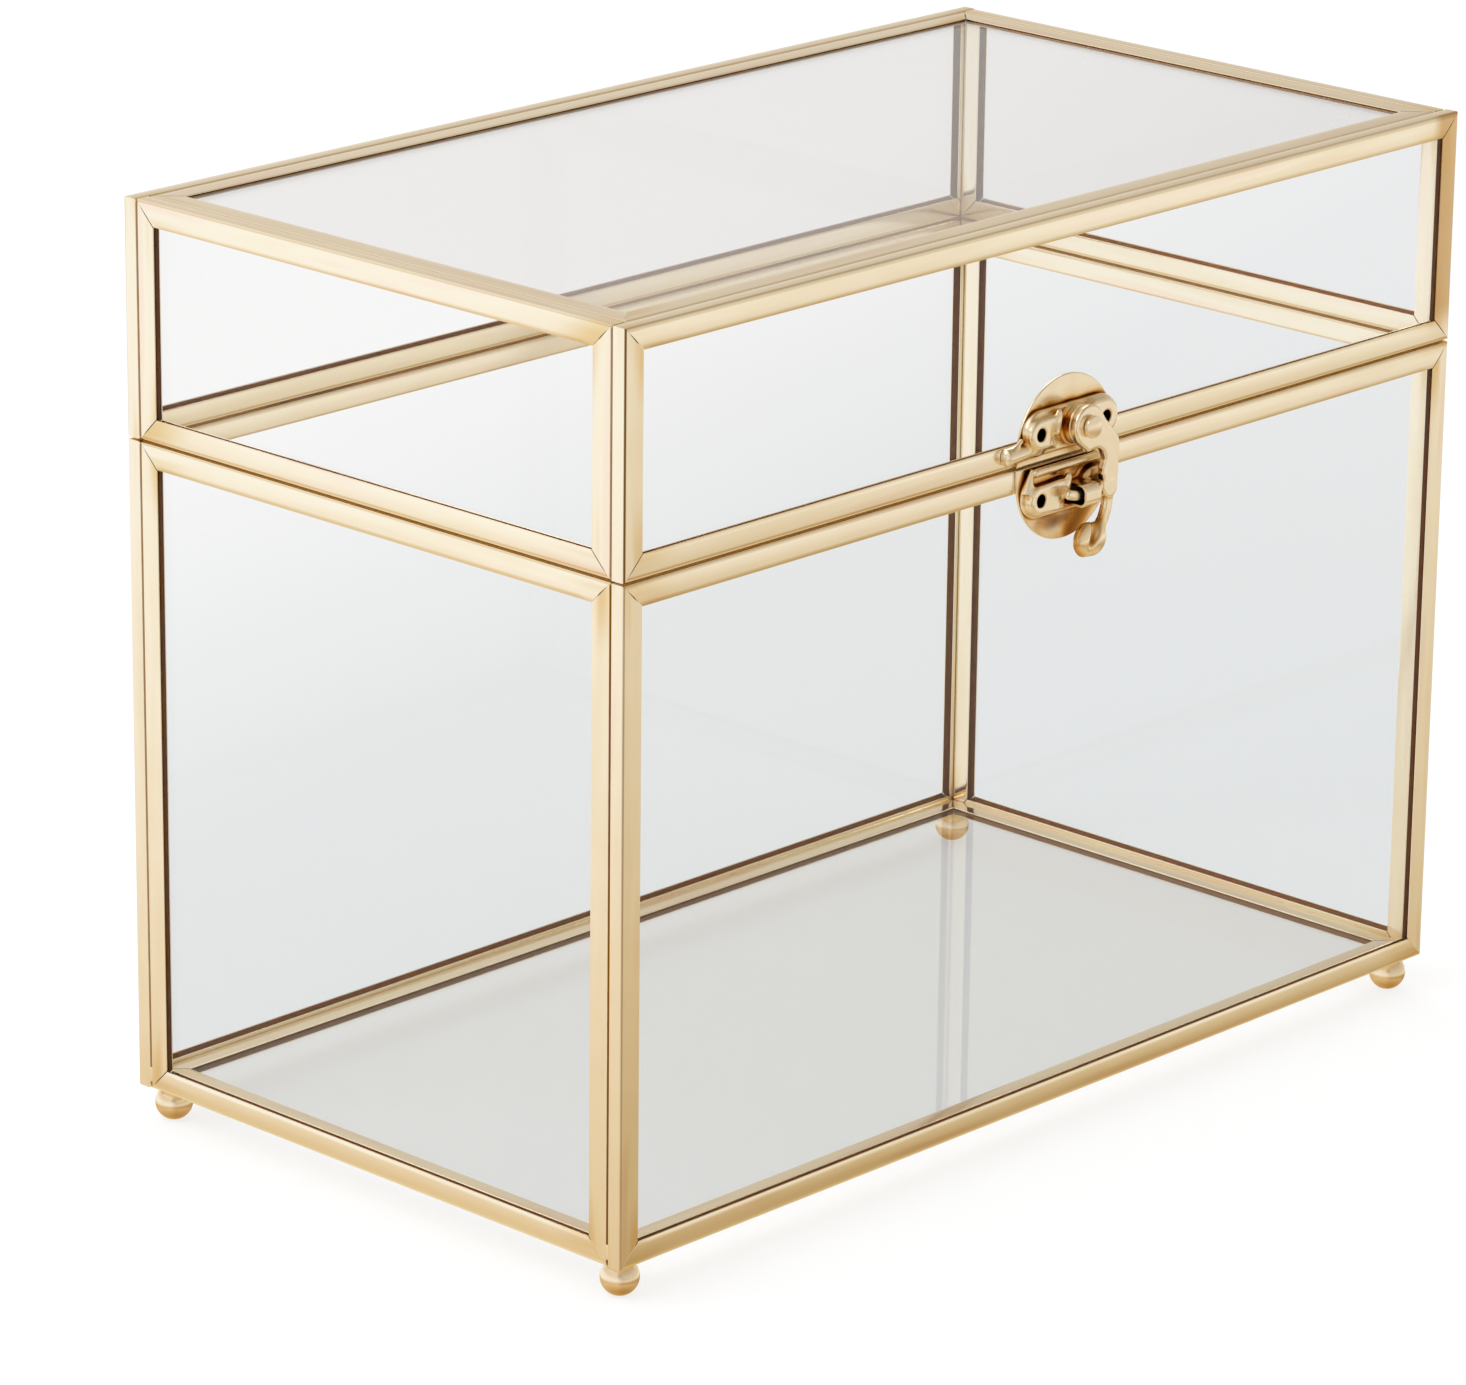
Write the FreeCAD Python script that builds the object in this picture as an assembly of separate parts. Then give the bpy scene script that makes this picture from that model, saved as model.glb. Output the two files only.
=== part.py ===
import FreeCAD, Part
import math
import os

from FreeCAD import Rotation, Vector

# Glass card box: panes in folded channel frames, a hinged lid, a swing-hook latch and ball feet.
# Millimetres. X runs along the front, Y from front to back, Z up from the surface it stands on.

# Overall sizes, measured over the frames
LENGTH = 253.0
DEPTH = 141.8
BASE_HEIGHT = 140.9
LID_HEIGHT = 50.2
SEAM_GAP = 0.5

# Panes and the channel strip folded round their edges
GLASS_THICKNESS = 3.0
STRIP_THICKNESS = 0.4
FLANGE_WIDTH = 5.0
BEND_RADIUS = 0.7
MITRE_SLIT = 0.2
PANE_EDGE_GAP = 0.3

# Ball feet, ground flat at the top and the bottom
FOOT_RADIUS = 4.0
FOOT_FLAT_DEPTH = 0.15
FOOT_INSET = 5.2

# Hinges on the back of the frames
HINGE_SPACING = 150.0
KNUCKLE_LENGTH = 8.0
KNUCKLE_GAP = 0.3
KNUCKLE_WALL = 0.8
KNUCKLE_STANDOFF = 0.25
PIN_RADIUS = 0.9
PIN_CLEARANCE = 0.05
PIN_HEAD_RADIUS = 1.3
PIN_HEAD_LENGTH = 0.5
LEAF_THICKNESS = 0.6
LEAF_MARGIN = 0.4
LEAF_CLEARANCE = 0.3

# Half-disc backing plates of the latch
BACKING_RADIUS = 14.8
BACKING_RISE = 2.5
BACKING_THICKNESS = 0.6

# Stamped latch plate and catch plate
LATCH_SHIFT = 0.2
PLATE_WIDTH = 26.8
PLATE_HEIGHT = 8.2
PLATE_SEAM_GAP = 3.1
PLATE_SHEET = 0.7
PLATE_STEP = 1.7
LOBE_STEP = 1.1
LOBE_INSET = 1.1
LOBE_LENGTH = 7.0
SCREW_HOLE_RADIUS = 1.2
LIFT_TAB_REACH = 5.0
LIFT_TAB_RADIUS = 1.6
HORN_HEIGHT = 3.4
HORN_WIDTH = 2.6

# Rivet that the hook turns on
PIVOT_OFFSET = 1.0
BOSS_RADIUS = 4.0
BOSS_STEP = 2.0
RIVET_SHANK_RADIUS = 1.5
RIVET_HEAD_RADIUS = 2.2
RIVET_HEAD_HEIGHT = 1.0
RIVET_TAIL_RADIUS = 2.0
RIVET_TAIL_HEIGHT = 0.6
RIVET_SEAT_CLEARANCE = 0.02
HOOK_CLEARANCE = 0.1
HOOK_BORE_CLEARANCE = 0.05

# Bridge on the catch plate that the prong goes under
BRIDGE_START = 0.2
BRIDGE_LENGTH = 5.7
BRIDGE_HEIGHT = 6.5
BRIDGE_SHEET = 0.7
BRIDGE_RAISE = 0.9
BRIDGE_CLEARANCE = 0.3

# Swing hook
HOOK_THICKNESS = 1.8
HOOK_HEAD_RADIUS = 3.9
ARM_HOLLOW_RADIUS = 4.0
ARM_WIDTH = 3.0
ARM_CLEARANCE = 0.4
ARM_START_ANGLE = 100.0
ARM_END_ANGLE = -50.0
PRONG_WIDTH = 2.2
PRONG_REACH = 3.9
TAIL_WIDTH = 2.4
TAIL_LIFT = 0.4
TAB_DROP = 25.4
TAB_LENGTH = 9.6
TAB_HEIGHT = 4.5
TAB_RISE = 1.6

# What follows from the sizes
frame_thickness = GLASS_THICKNESS + 2 * STRIP_THICKNESS
foot_height = 2 * (FOOT_RADIUS - FOOT_FLAT_DEPTH)
seam_bottom = foot_height + BASE_HEIGHT
seam_middle = seam_bottom + SEAM_GAP / 2
seam_top = seam_bottom + SEAM_GAP
lid_top = seam_top + LID_HEIGHT

knuckle_bore = PIN_RADIUS + PIN_CLEARANCE
knuckle_radius = knuckle_bore + KNUCKLE_WALL
hinge_offset = KNUCKLE_STANDOFF + knuckle_radius
hinge_reach = hinge_offset + knuckle_radius

# Distances out from the front of the frames, one layer of the latch after the other
plate_level = BACKING_THICKNESS + PLATE_STEP
lobe_level = plate_level + LOBE_STEP
boss_level = plate_level + BOSS_STEP
hook_back = boss_level + HOOK_CLEARANCE
hook_front = hook_back + HOOK_THICKNESS
rivet_top = hook_front + HOOK_CLEARANCE + RIVET_HEAD_HEIGHT
bridge_inside = hook_front + BRIDGE_CLEARANCE
bridge_top = bridge_inside + BRIDGE_SHEET
tail_back = lobe_level + TAIL_LIFT
tab_front = hook_front + TAB_RISE
latch_reach = max(rivet_top, bridge_top, tab_front)

# The origin is under the middle of everything, latch and hinges included
front_face = (latch_reach - DEPTH - hinge_reach) / 2
back_face = front_face + DEPTH
middle_y = (front_face + back_face) / 2
inner_length = LENGTH - 2 * frame_thickness
inner_depth = DEPTH - 2 * frame_thickness

# Places on the front of the latch, X along the box and Z up
plate_radius = PLATE_HEIGHT / 2
plate_offset = PLATE_SEAM_GAP + plate_radius
lobe_radius = plate_radius - LOBE_INSET
lobe_offset = PLATE_WIDTH / 2 - plate_radius
latch_plate_z = seam_middle + plate_offset
catch_plate_z = seam_middle - plate_offset
pivot_x = LATCH_SHIFT + PIVOT_OFFSET
pivot_z = latch_plate_z
bridge_x = LATCH_SHIFT + BRIDGE_START
bridge_z = catch_plate_z + BRIDGE_RAISE

os.makedirs("parts", exist_ok=True)


def save(name, shape):
    shape.exportStep("parts/" + name + ".step")


def box_between(low, high):
    size = high - low
    return Part.makeBox(size.x, size.y, size.z, low)


def rounded_bar(across, thick, length, radius):
    # A bar along Z with a rounded rectangular section, centred on the origin
    bar = Part.makeBox(across, thick, length, Vector(-across / 2, -thick / 2, -length / 2))
    upright = [e for e in bar.Edges if abs(e.BoundBox.ZLength - length) < 1e-6]
    return bar.makeFillet(radius, upright)


def channel_frame(width, height):
    # A channel folded round a pane that stands in the XZ plane, centred on the origin
    posts = rounded_bar(width, frame_thickness, height, BEND_RADIUS)
    rails = rounded_bar(height, frame_thickness, width, BEND_RADIUS)
    rails.rotate(Vector(0, 0, 0), Vector(0, 1, 0), 90)
    plate = posts.common(rails)
    window = Part.makeBox(
        width - 2 * FLANGE_WIDTH, frame_thickness, height - 2 * FLANGE_WIDTH,
        Vector(FLANGE_WIDTH - width / 2, -frame_thickness / 2, FLANGE_WIDTH - height / 2))
    slot = Part.makeBox(
        width - 2 * STRIP_THICKNESS, GLASS_THICKNESS, height - 2 * STRIP_THICKNESS,
        Vector(STRIP_THICKNESS - width / 2, -GLASS_THICKNESS / 2, STRIP_THICKNESS - height / 2))
    cuts = [window, slot]
    # Each slit starts inside the window, so that it opens into it over its whole width
    slit_length = (FLANGE_WIDTH - BEND_RADIUS) * math.sqrt(2) + MITRE_SLIT
    for side in (-1, 1):
        for end in (-1, 1):
            slit = Part.makeBox(
                slit_length, frame_thickness, MITRE_SLIT,
                Vector(-MITRE_SLIT, -frame_thickness / 2, -MITRE_SLIT / 2))
            slit.rotate(Vector(0, 0, 0), Vector(0, 1, 0), -math.degrees(math.atan2(end, side)))
            slit.translate(Vector(
                side * (width / 2 - FLANGE_WIDTH), 0, end * (height / 2 - FLANGE_WIDTH)))
            cuts.append(slit)
    return plate.cut(cuts)


def pane(width, height):
    # The sheet of glass that such a frame holds
    across = width - 2 * (STRIP_THICKNESS + PANE_EDGE_GAP)
    up = height - 2 * (STRIP_THICKNESS + PANE_EDGE_GAP)
    return Part.makeBox(across, GLASS_THICKNESS, up, Vector(-across / 2, -GLASS_THICKNESS / 2, -up / 2))


def glazed_panel(frame_name, pane_name, width, height, centre, turn):
    # A frame and its pane, turned from the XZ plane and set at their centre
    for name, shape in ((frame_name, channel_frame(width, height)), (pane_name, pane(width, height))):
        shape.rotate(Vector(0, 0, 0), turn.Axis, math.degrees(turn.Angle))
        shape.translate(centre)
        save(name, shape)


def glazed_walls(prefix, low, height):
    # Front and back panels run the full length, and the side panels stand between them
    facing_front = Rotation()
    facing_side = Rotation(Vector(0, 0, 1), 90)
    middle_z = low + height / 2
    half_thickness = frame_thickness / 2
    places = {
        "front": (LENGTH, Vector(0, front_face + half_thickness, middle_z), facing_front),
        "back": (LENGTH, Vector(0, back_face - half_thickness, middle_z), facing_front),
        "left": (inner_depth, Vector(half_thickness - LENGTH / 2, middle_y, middle_z), facing_side),
        "right": (inner_depth, Vector(LENGTH / 2 - half_thickness, middle_y, middle_z), facing_side),
    }
    for side, (width, centre, turn) in places.items():
        glazed_panel(f"{prefix}_{side}_frame", f"{prefix}_{side}_pane", width, height, centre, turn)


def glazed_flats():
    # The floor and the top lie between the walls, flush with their outer edges
    lying = Rotation(Vector(1, 0, 0), 90)
    floor_z = foot_height + frame_thickness / 2
    top_z = lid_top - frame_thickness / 2
    glazed_panel(
        "floor_frame", "floor_pane", inner_length, inner_depth, Vector(0, middle_y, floor_z), lying)
    glazed_panel("top_frame", "top_pane", inner_length, inner_depth, Vector(0, middle_y, top_z), lying)


def feet():
    # Balls under the corners, with a flat to stand on and a flat against the frames
    reach_x = LENGTH / 2 - FOOT_INSET
    reach_y = DEPTH / 2 - FOOT_INSET
    for end, y in (("front", middle_y - reach_y), ("back", middle_y + reach_y)):
        for side, x in (("left", -reach_x), ("right", reach_x)):
            ball = Part.makeSphere(FOOT_RADIUS, Vector(x, y, foot_height / 2))
            slab = box_between(
                Vector(x - FOOT_RADIUS, y - FOOT_RADIUS, 0),
                Vector(x + FOOT_RADIUS, y + FOOT_RADIUS, foot_height))
            save(f"{end}_{side}_foot", ball.common(slab))


def knuckle(centre_x, length):
    # A tube along X round the hinge axis
    axis_y = back_face + hinge_offset
    start = Vector(centre_x - length / 2, axis_y, seam_middle)
    tube = Part.makeCylinder(knuckle_radius, length, start, Vector(1, 0, 0))
    return tube.cut(Part.makeCylinder(knuckle_bore, length, start, Vector(1, 0, 0)))


def hinge_leaf(centre_x, up, own_knuckles, other_knuckles):
    # A leaf on the back flange: up is 1 on the lid and -1 on the base
    length = 3 * KNUCKLE_LENGTH + 2 * KNUCKLE_GAP
    far = seam_middle + up * (SEAM_GAP / 2 + FLANGE_WIDTH - LEAF_MARGIN)
    near = seam_middle + up * SEAM_GAP / 2
    leaf = box_between(
        Vector(centre_x - length / 2, back_face, min(near, far)),
        Vector(centre_x + length / 2, back_face + LEAF_THICKNESS, max(near, far)))
    axis_y = back_face + hinge_offset
    for x in other_knuckles:
        start = Vector(x - KNUCKLE_LENGTH / 2 - KNUCKLE_GAP, axis_y, seam_middle)
        room = Part.makeCylinder(
            knuckle_radius + LEAF_CLEARANCE, KNUCKLE_LENGTH + 2 * KNUCKLE_GAP, start, Vector(1, 0, 0))
        leaf = leaf.cut(room)
    for x in own_knuckles:
        # The web rises from the leaf to the side of the knuckle
        web_end = seam_middle + up * knuckle_radius
        web = box_between(
            Vector(x - KNUCKLE_LENGTH / 2, back_face, min(near, web_end)),
            Vector(x + KNUCKLE_LENGTH / 2, axis_y - knuckle_bore, max(near, web_end)))
        bore = Part.makeCylinder(
            knuckle_bore, KNUCKLE_LENGTH, Vector(x - KNUCKLE_LENGTH / 2, axis_y, seam_middle),
            Vector(1, 0, 0))
        leaf = leaf.fuse([knuckle(x, KNUCKLE_LENGTH), web.cut(bore)])
    return leaf.removeSplitter()


def hinge_pin(centre_x):
    # A pin through the three knuckles, headed at both ends
    length = 3 * KNUCKLE_LENGTH + 2 * KNUCKLE_GAP
    axis_y = back_face + hinge_offset
    start = Vector(centre_x - length / 2, axis_y, seam_middle)
    end = Vector(centre_x + length / 2, axis_y, seam_middle)
    along = Vector(1, 0, 0)
    pin = Part.makeCylinder(PIN_RADIUS, length, start, along)
    heads = [
        Part.makeCylinder(PIN_HEAD_RADIUS, PIN_HEAD_LENGTH, start, -along),
        Part.makeCylinder(PIN_HEAD_RADIUS, PIN_HEAD_LENGTH, end, along),
    ]
    return pin.fuse(heads).removeSplitter()


def hinges():
    pitch = KNUCKLE_LENGTH + KNUCKLE_GAP
    for side, x in (("left", -HINGE_SPACING / 2), ("right", HINGE_SPACING / 2)):
        outer = (x - pitch, x + pitch)
        middle = (x,)
        save(f"{side}_hinge_base_leaf", hinge_leaf(x, -1, outer, middle))
        save(f"{side}_hinge_lid_leaf", hinge_leaf(x, 1, middle, outer))
        save(f"{side}_hinge_pin", hinge_pin(x))


def disc(x, z, radius, low, high):
    # A disc on the front of the box, between two distances out from the frames
    return Part.makeCylinder(radius, high - low, Vector(x, front_face - low, z), Vector(0, -1, 0))


def block(x_low, x_high, z_low, z_high, low, high):
    return box_between(Vector(x_low, front_face - high, z_low), Vector(x_high, front_face - low, z_high))


def bar(start, end, width, low, high):
    # A round-ended bar between two (x, z) points on the front of the box
    (x0, z0), (x1, z1) = start, end
    length = math.hypot(x1 - x0, z1 - z0)
    angle = math.degrees(math.atan2(z1 - z0, x1 - x0))
    middle = block(0, length, -width / 2, width / 2, low, high)
    middle.rotate(Vector(0, 0, 0), Vector(0, 1, 0), -angle)
    middle.translate(Vector(x0, 0, z0))
    ends = [disc(x0, z0, width / 2, low, high), disc(x1, z1, width / 2, low, high)]
    return middle.fuse(ends)


def ring_sector(x, z, inner, outer, first, last, low, high):
    # Part of a flat ring, between two angles counted up from +X
    wedge = Part.makeCylinder(
        outer, high - low, Vector(0, 0, 0), Vector(0, 0, 1), last - first)
    wedge = wedge.cut(Part.makeCylinder(inner, high - low))
    wedge.rotate(Vector(0, 0, 0), Vector(0, 0, 1), first)
    wedge.rotate(Vector(0, 0, 0), Vector(1, 0, 0), 90)
    wedge.translate(Vector(x, front_face - low, z))
    return wedge


def backing_plates():
    # A half-disc on each side of the seam, with a straight stretch down to it
    for name, up in (("lid_backing_plate", 1), ("base_backing_plate", -1)):
        edge = seam_middle + up * SEAM_GAP / 2
        centre_z = seam_middle + up * BACKING_RISE
        far = centre_z + up * BACKING_RADIUS
        round_part = disc(LATCH_SHIFT, centre_z, BACKING_RADIUS, 0, BACKING_THICKNESS)
        straight = block(
            LATCH_SHIFT - BACKING_RADIUS, LATCH_SHIFT + BACKING_RADIUS,
            min(edge, centre_z), max(edge, centre_z), 0, BACKING_THICKNESS)
        keep = block(
            LATCH_SHIFT - BACKING_RADIUS, LATCH_SHIFT + BACKING_RADIUS,
            min(edge, far), max(edge, far), 0, BACKING_THICKNESS)
        save(name, round_part.common(keep).fuse(straight).removeSplitter())


def lobe(side, centre_z, shrink, low, high):
    # A raised panel at one end of a plate, round outside and straight towards the middle
    x = LATCH_SHIFT + side * lobe_offset
    radius = lobe_radius - shrink
    inner_end = LATCH_SHIFT + side * (PLATE_WIDTH / 2 - LOBE_INSET - LOBE_LENGTH + shrink)
    straight = block(
        min(x, inner_end), max(x, inner_end), centre_z - radius, centre_z + radius, low, high)
    return disc(x, centre_z, radius, low, high).fuse(straight)


def plate_form(centre_z, shrink):
    # The drawn form of a plate: a long round-ended step with a raised panel at each end
    ends = [(LATCH_SHIFT + side * lobe_offset, centre_z) for side in (-1, 1)]
    step = bar(ends[0], ends[1], 2 * (plate_radius - shrink), BACKING_THICKNESS, plate_level - shrink)
    lobes = [
        lobe(side, centre_z, shrink, BACKING_THICKNESS, lobe_level - shrink) for side in (-1, 1)]
    return step.fuse(lobes)


def stamped_plate(centre_z):
    # Sheet drawn into the plate's form, open at the back, with a screw hole in each panel
    plate = plate_form(centre_z, 0).cut(plate_form(centre_z, PLATE_SHEET))
    for side in (-1, 1):
        hole = disc(
            LATCH_SHIFT + side * lobe_offset, centre_z, SCREW_HOLE_RADIUS, BACKING_THICKNESS, lobe_level)
        plate = plate.cut(hole)
    return plate


def latch_plate():
    # The lid's plate, with the boss that carries the hook and a lift tab at its lower left
    sheet_back = plate_level - PLATE_SHEET
    boss = disc(pivot_x, pivot_z, BOSS_RADIUS, sheet_back, boss_level)
    tab_z = latch_plate_z - plate_radius + LIFT_TAB_RADIUS / 2
    tab_end = LATCH_SHIFT - PLATE_WIDTH / 2 - LIFT_TAB_REACH
    tab_start = LATCH_SHIFT - lobe_offset
    tab = Part.makeCylinder(
        LIFT_TAB_RADIUS, tab_start - tab_end, Vector(tab_end, front_face - BACKING_THICKNESS, tab_z),
        Vector(1, 0, 0))
    keep = block(
        tab_end, tab_start, tab_z - LIFT_TAB_RADIUS, tab_z + LIFT_TAB_RADIUS,
        BACKING_THICKNESS, BACKING_THICKNESS + LIFT_TAB_RADIUS)
    hollow = plate_form(latch_plate_z, PLATE_SHEET)
    plate = stamped_plate(latch_plate_z).fuse([boss, tab.common(keep).cut(hollow)])
    bore = disc(
        pivot_x, pivot_z, RIVET_SHANK_RADIUS + RIVET_SEAT_CLEARANCE, BACKING_THICKNESS, boss_level)
    save("latch_plate", plate.cut(bore).removeSplitter())


def catch_plate():
    # The base's plate, with the bridge over the prong and a horn at its upper left
    low = bridge_z - BRIDGE_HEIGHT / 2
    high = bridge_z + BRIDGE_HEIGHT / 2
    end = bridge_x + BRIDGE_LENGTH
    sheet_back = plate_level - PLATE_SHEET
    outside = block(bridge_x, end, low, high, sheet_back, bridge_top)
    inside = block(
        bridge_x, end, low + BRIDGE_SHEET, high - BRIDGE_SHEET, plate_level, bridge_inside)
    horn_x = LATCH_SHIFT - lobe_offset - HORN_WIDTH
    horn_base = catch_plate_z + lobe_radius
    horn_tip = catch_plate_z + plate_radius + HORN_HEIGHT
    corners = [
        Vector(horn_x, front_face - BACKING_THICKNESS, horn_base),
        Vector(horn_x + 2 * HORN_WIDTH, front_face - BACKING_THICKNESS, horn_base),
        Vector(horn_x, front_face - BACKING_THICKNESS, min(horn_tip, seam_bottom)),
    ]
    horn = Part.Face(Part.makePolygon(corners + corners[:1])).extrude(Vector(0, -PLATE_STEP, 0))
    hollow = plate_form(catch_plate_z, PLATE_SHEET)
    plate = stamped_plate(catch_plate_z).fuse([outside.cut(inside), horn.cut(hollow)])
    save("catch_plate", plate.removeSplitter())


def pivot_rivet():
    # Headed outside the hook and spread behind the plate's sheet
    sheet_back = plate_level - PLATE_SHEET
    head_base = hook_front + HOOK_CLEARANCE
    shank = disc(pivot_x, pivot_z, RIVET_SHANK_RADIUS, sheet_back, head_base)
    head = disc(pivot_x, pivot_z, RIVET_HEAD_RADIUS, head_base, rivet_top)
    rim = [e for e in head.Edges if abs(e.BoundBox.YMin - (front_face - rivet_top)) < 1e-6]
    rim = [e for e in rim if e.BoundBox.YLength < 1e-6]
    head = head.makeFillet(RIVET_HEAD_HEIGHT / 2, rim)
    tail = disc(pivot_x, pivot_z, RIVET_TAIL_RADIUS, sheet_back - RIVET_TAIL_HEIGHT, sheet_back)
    save("pivot_rivet", shank.fuse([head, tail]).removeSplitter())


def latch_hook():
    # Head on the rivet, C-shaped arm round the seam, prong under the bridge, tail and finger tab
    head = disc(pivot_x, pivot_z, HOOK_HEAD_RADIUS, hook_back, hook_front)
    arm_outer = ARM_HOLLOW_RADIUS + ARM_WIDTH
    arm_end = math.radians(ARM_END_ANGLE)
    arm_x = bridge_x + BRIDGE_LENGTH + ARM_CLEARANCE - ARM_HOLLOW_RADIUS * math.cos(arm_end)
    arm_z = (pivot_z + bridge_z) / 2
    arm = ring_sector(
        arm_x, arm_z, ARM_HOLLOW_RADIUS, arm_outer, ARM_END_ANGLE, ARM_START_ANGLE, hook_back, hook_front)
    # The prong is an arc round the rivet, so that it slides out from under the bridge
    prong_radius = pivot_z - bridge_z
    prong_tip = -90 - math.degrees(math.asin((pivot_x - bridge_x + PRONG_REACH) / prong_radius))
    arm_middle = ARM_HOLLOW_RADIUS + ARM_WIDTH / 2
    root_x = arm_x + arm_middle * math.cos(arm_end)
    prong_root = -90 + math.degrees(math.asin((root_x - pivot_x) / prong_radius))
    prong = ring_sector(
        pivot_x, pivot_z, prong_radius - PRONG_WIDTH / 2, prong_radius + PRONG_WIDTH / 2,
        prong_tip, prong_root, hook_back, hook_front)
    tab_z = pivot_z - TAB_DROP
    tab_right = root_x + TAIL_WIDTH / 2 - TAB_HEIGHT / 2
    tab_left = tab_right - (TAB_LENGTH - TAB_HEIGHT)
    tail_top = (root_x + TAIL_WIDTH / 2, arm_z + arm_middle * math.sin(arm_end))
    tail_foot = (tab_right + TAB_HEIGHT / 2 - TAIL_WIDTH / 2, tab_z + TAIL_WIDTH / 2)
    tail = bar(tail_top, tail_foot, TAIL_WIDTH, tail_back, hook_front)
    tab = bar((tab_left, tab_z), (tab_right, tab_z), TAB_HEIGHT, tail_back, tab_front)
    bore = disc(pivot_x, pivot_z, RIVET_SHANK_RADIUS + HOOK_BORE_CLEARANCE, hook_back, hook_front)
    hook = head.fuse([arm, prong, tail, tab]).cut(bore)
    save("latch_hook", hook.removeSplitter())


glazed_walls("base", foot_height, BASE_HEIGHT)
glazed_walls("lid", seam_top, LID_HEIGHT)
glazed_flats()
feet()
hinges()
backing_plates()
latch_plate()
catch_plate()
pivot_rivet()
latch_hook()
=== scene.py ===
import math
from functools import partial

import bpy
import numpy as np
from mathutils import Matrix, Vector


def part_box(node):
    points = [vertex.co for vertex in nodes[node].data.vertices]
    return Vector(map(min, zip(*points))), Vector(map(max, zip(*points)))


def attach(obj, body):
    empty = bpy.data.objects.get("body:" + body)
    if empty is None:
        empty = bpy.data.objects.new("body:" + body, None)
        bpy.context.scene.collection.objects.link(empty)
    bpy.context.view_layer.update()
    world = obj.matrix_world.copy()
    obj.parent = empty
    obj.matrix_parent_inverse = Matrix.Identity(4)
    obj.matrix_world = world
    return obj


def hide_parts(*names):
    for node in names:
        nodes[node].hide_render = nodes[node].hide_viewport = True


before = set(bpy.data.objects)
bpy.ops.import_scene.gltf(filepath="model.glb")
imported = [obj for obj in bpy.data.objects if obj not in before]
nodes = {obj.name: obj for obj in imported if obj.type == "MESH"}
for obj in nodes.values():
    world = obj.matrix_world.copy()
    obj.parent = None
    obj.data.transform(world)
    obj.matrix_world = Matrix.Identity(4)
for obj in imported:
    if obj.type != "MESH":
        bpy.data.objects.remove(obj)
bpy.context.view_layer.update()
scene = bpy.context.scene
scene.view_settings.view_transform = "Standard"
MM = 0.001

# Camera: a long lens about 1.4 m away, above the front left corner.
# The angles, distance and aim come from fitting the frame's corners to the photograph.
IMAGE_WIDTH = 1466
FOCAL_PIXELS = 6808.3
SENSOR_WIDTH = 36.0
CAMERA_AZIMUTH = math.radians(-46.513)
CAMERA_ELEVATION = math.radians(18.294)
CAMERA_ROLL = math.radians(0.651)
CAMERA_DISTANCE = 1440.3 * MM
CAMERA_AIM = Vector((-14.49, 8.61, 83.32)) * MM

towards_camera = Vector((
    math.sin(CAMERA_AZIMUTH) * math.cos(CAMERA_ELEVATION),
    -math.cos(CAMERA_AZIMUTH) * math.cos(CAMERA_ELEVATION),
    math.sin(CAMERA_ELEVATION)))
level_right = Vector((math.cos(CAMERA_AZIMUTH), math.sin(CAMERA_AZIMUTH), 0))
level_up = towards_camera.cross(level_right)
camera_right = level_right * math.cos(CAMERA_ROLL) + level_up * math.sin(CAMERA_ROLL)
camera_up = towards_camera.cross(camera_right)
camera_data = bpy.data.cameras.new("camera")
camera_data.sensor_fit = "HORIZONTAL"
camera_data.sensor_width = SENSOR_WIDTH
camera_data.lens = FOCAL_PIXELS / IMAGE_WIDTH * SENSOR_WIDTH
camera = bpy.data.objects.new("camera", camera_data)
turn = Matrix((camera_right, camera_up, towards_camera)).transposed().to_4x4()
camera.matrix_world = Matrix.Translation(CAMERA_AIM + towards_camera * CAMERA_DISTANCE) @ turn
scene.collection.objects.link(camera)
scene.camera = camera


# Surroundings: a white photo studio. The page behind the box is plain white, also through the glass.
# What the brass mirrors is the room: a white sweep on the left, a duller room on the right and in front.
def linear(code):
    # The linear colour of an sRGB hex code
    channels = [int(code[i:i + 2], 16) / 255 for i in (1, 3, 5)]
    return [c / 12.92 if c <= 0.04045 else ((c + 0.055) / 1.055) ** 2.4 for c in channels] + [1.0]


def fill(tree, node, inputs):
    # A node's inputs, each a plain value, a socket, or a node's first output
    for name, value in inputs.items():
        if isinstance(value, bpy.types.Node):
            value = value.outputs[0]
        if isinstance(value, bpy.types.NodeSocket):
            tree.links.new(value, node.inputs[name])
        else:
            node.inputs[name].default_value = value


def add_node(tree, kind, inputs=None, **settings):
    # One node with its inputs and settings. Its kind is written without the name of its family.
    families = ("ShaderNode", "GeometryNode", "FunctionNode", "Node")
    family = next(family for family in families if hasattr(bpy.types, family + kind))
    node = tree.nodes.new(family + kind)
    for name, value in settings.items():
        setattr(node, name, value)
    fill(tree, node, inputs or {})
    return node


def span(end, values):
    # The two inputs that take the ends of a range
    return {f"{end} Min": values[0], f"{end} Max": values[1]}


def set_stops(ramp, stops):
    # The colours along a ramp, each by its position
    while len(ramp.elements) < len(stops):
        ramp.elements.new(0.5)
    for stop, (position, colour) in zip(ramp.elements, stops.items()):
        stop.position = position
        stop.color = linear(colour)


# What lies above the horizon: the sine of the way up, and the colour there
ROOM_ON_LEFT = {0.0: "#FFF8EE", 0.3: "#E0D6C8", 0.65: "#F2E8D8"}
ROOM_IN_FRONT = {0.0: "#DED4C5", 0.3: "#C8BDAE", 0.55: "#C2B299", 0.8: "#A08C6C"}
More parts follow.
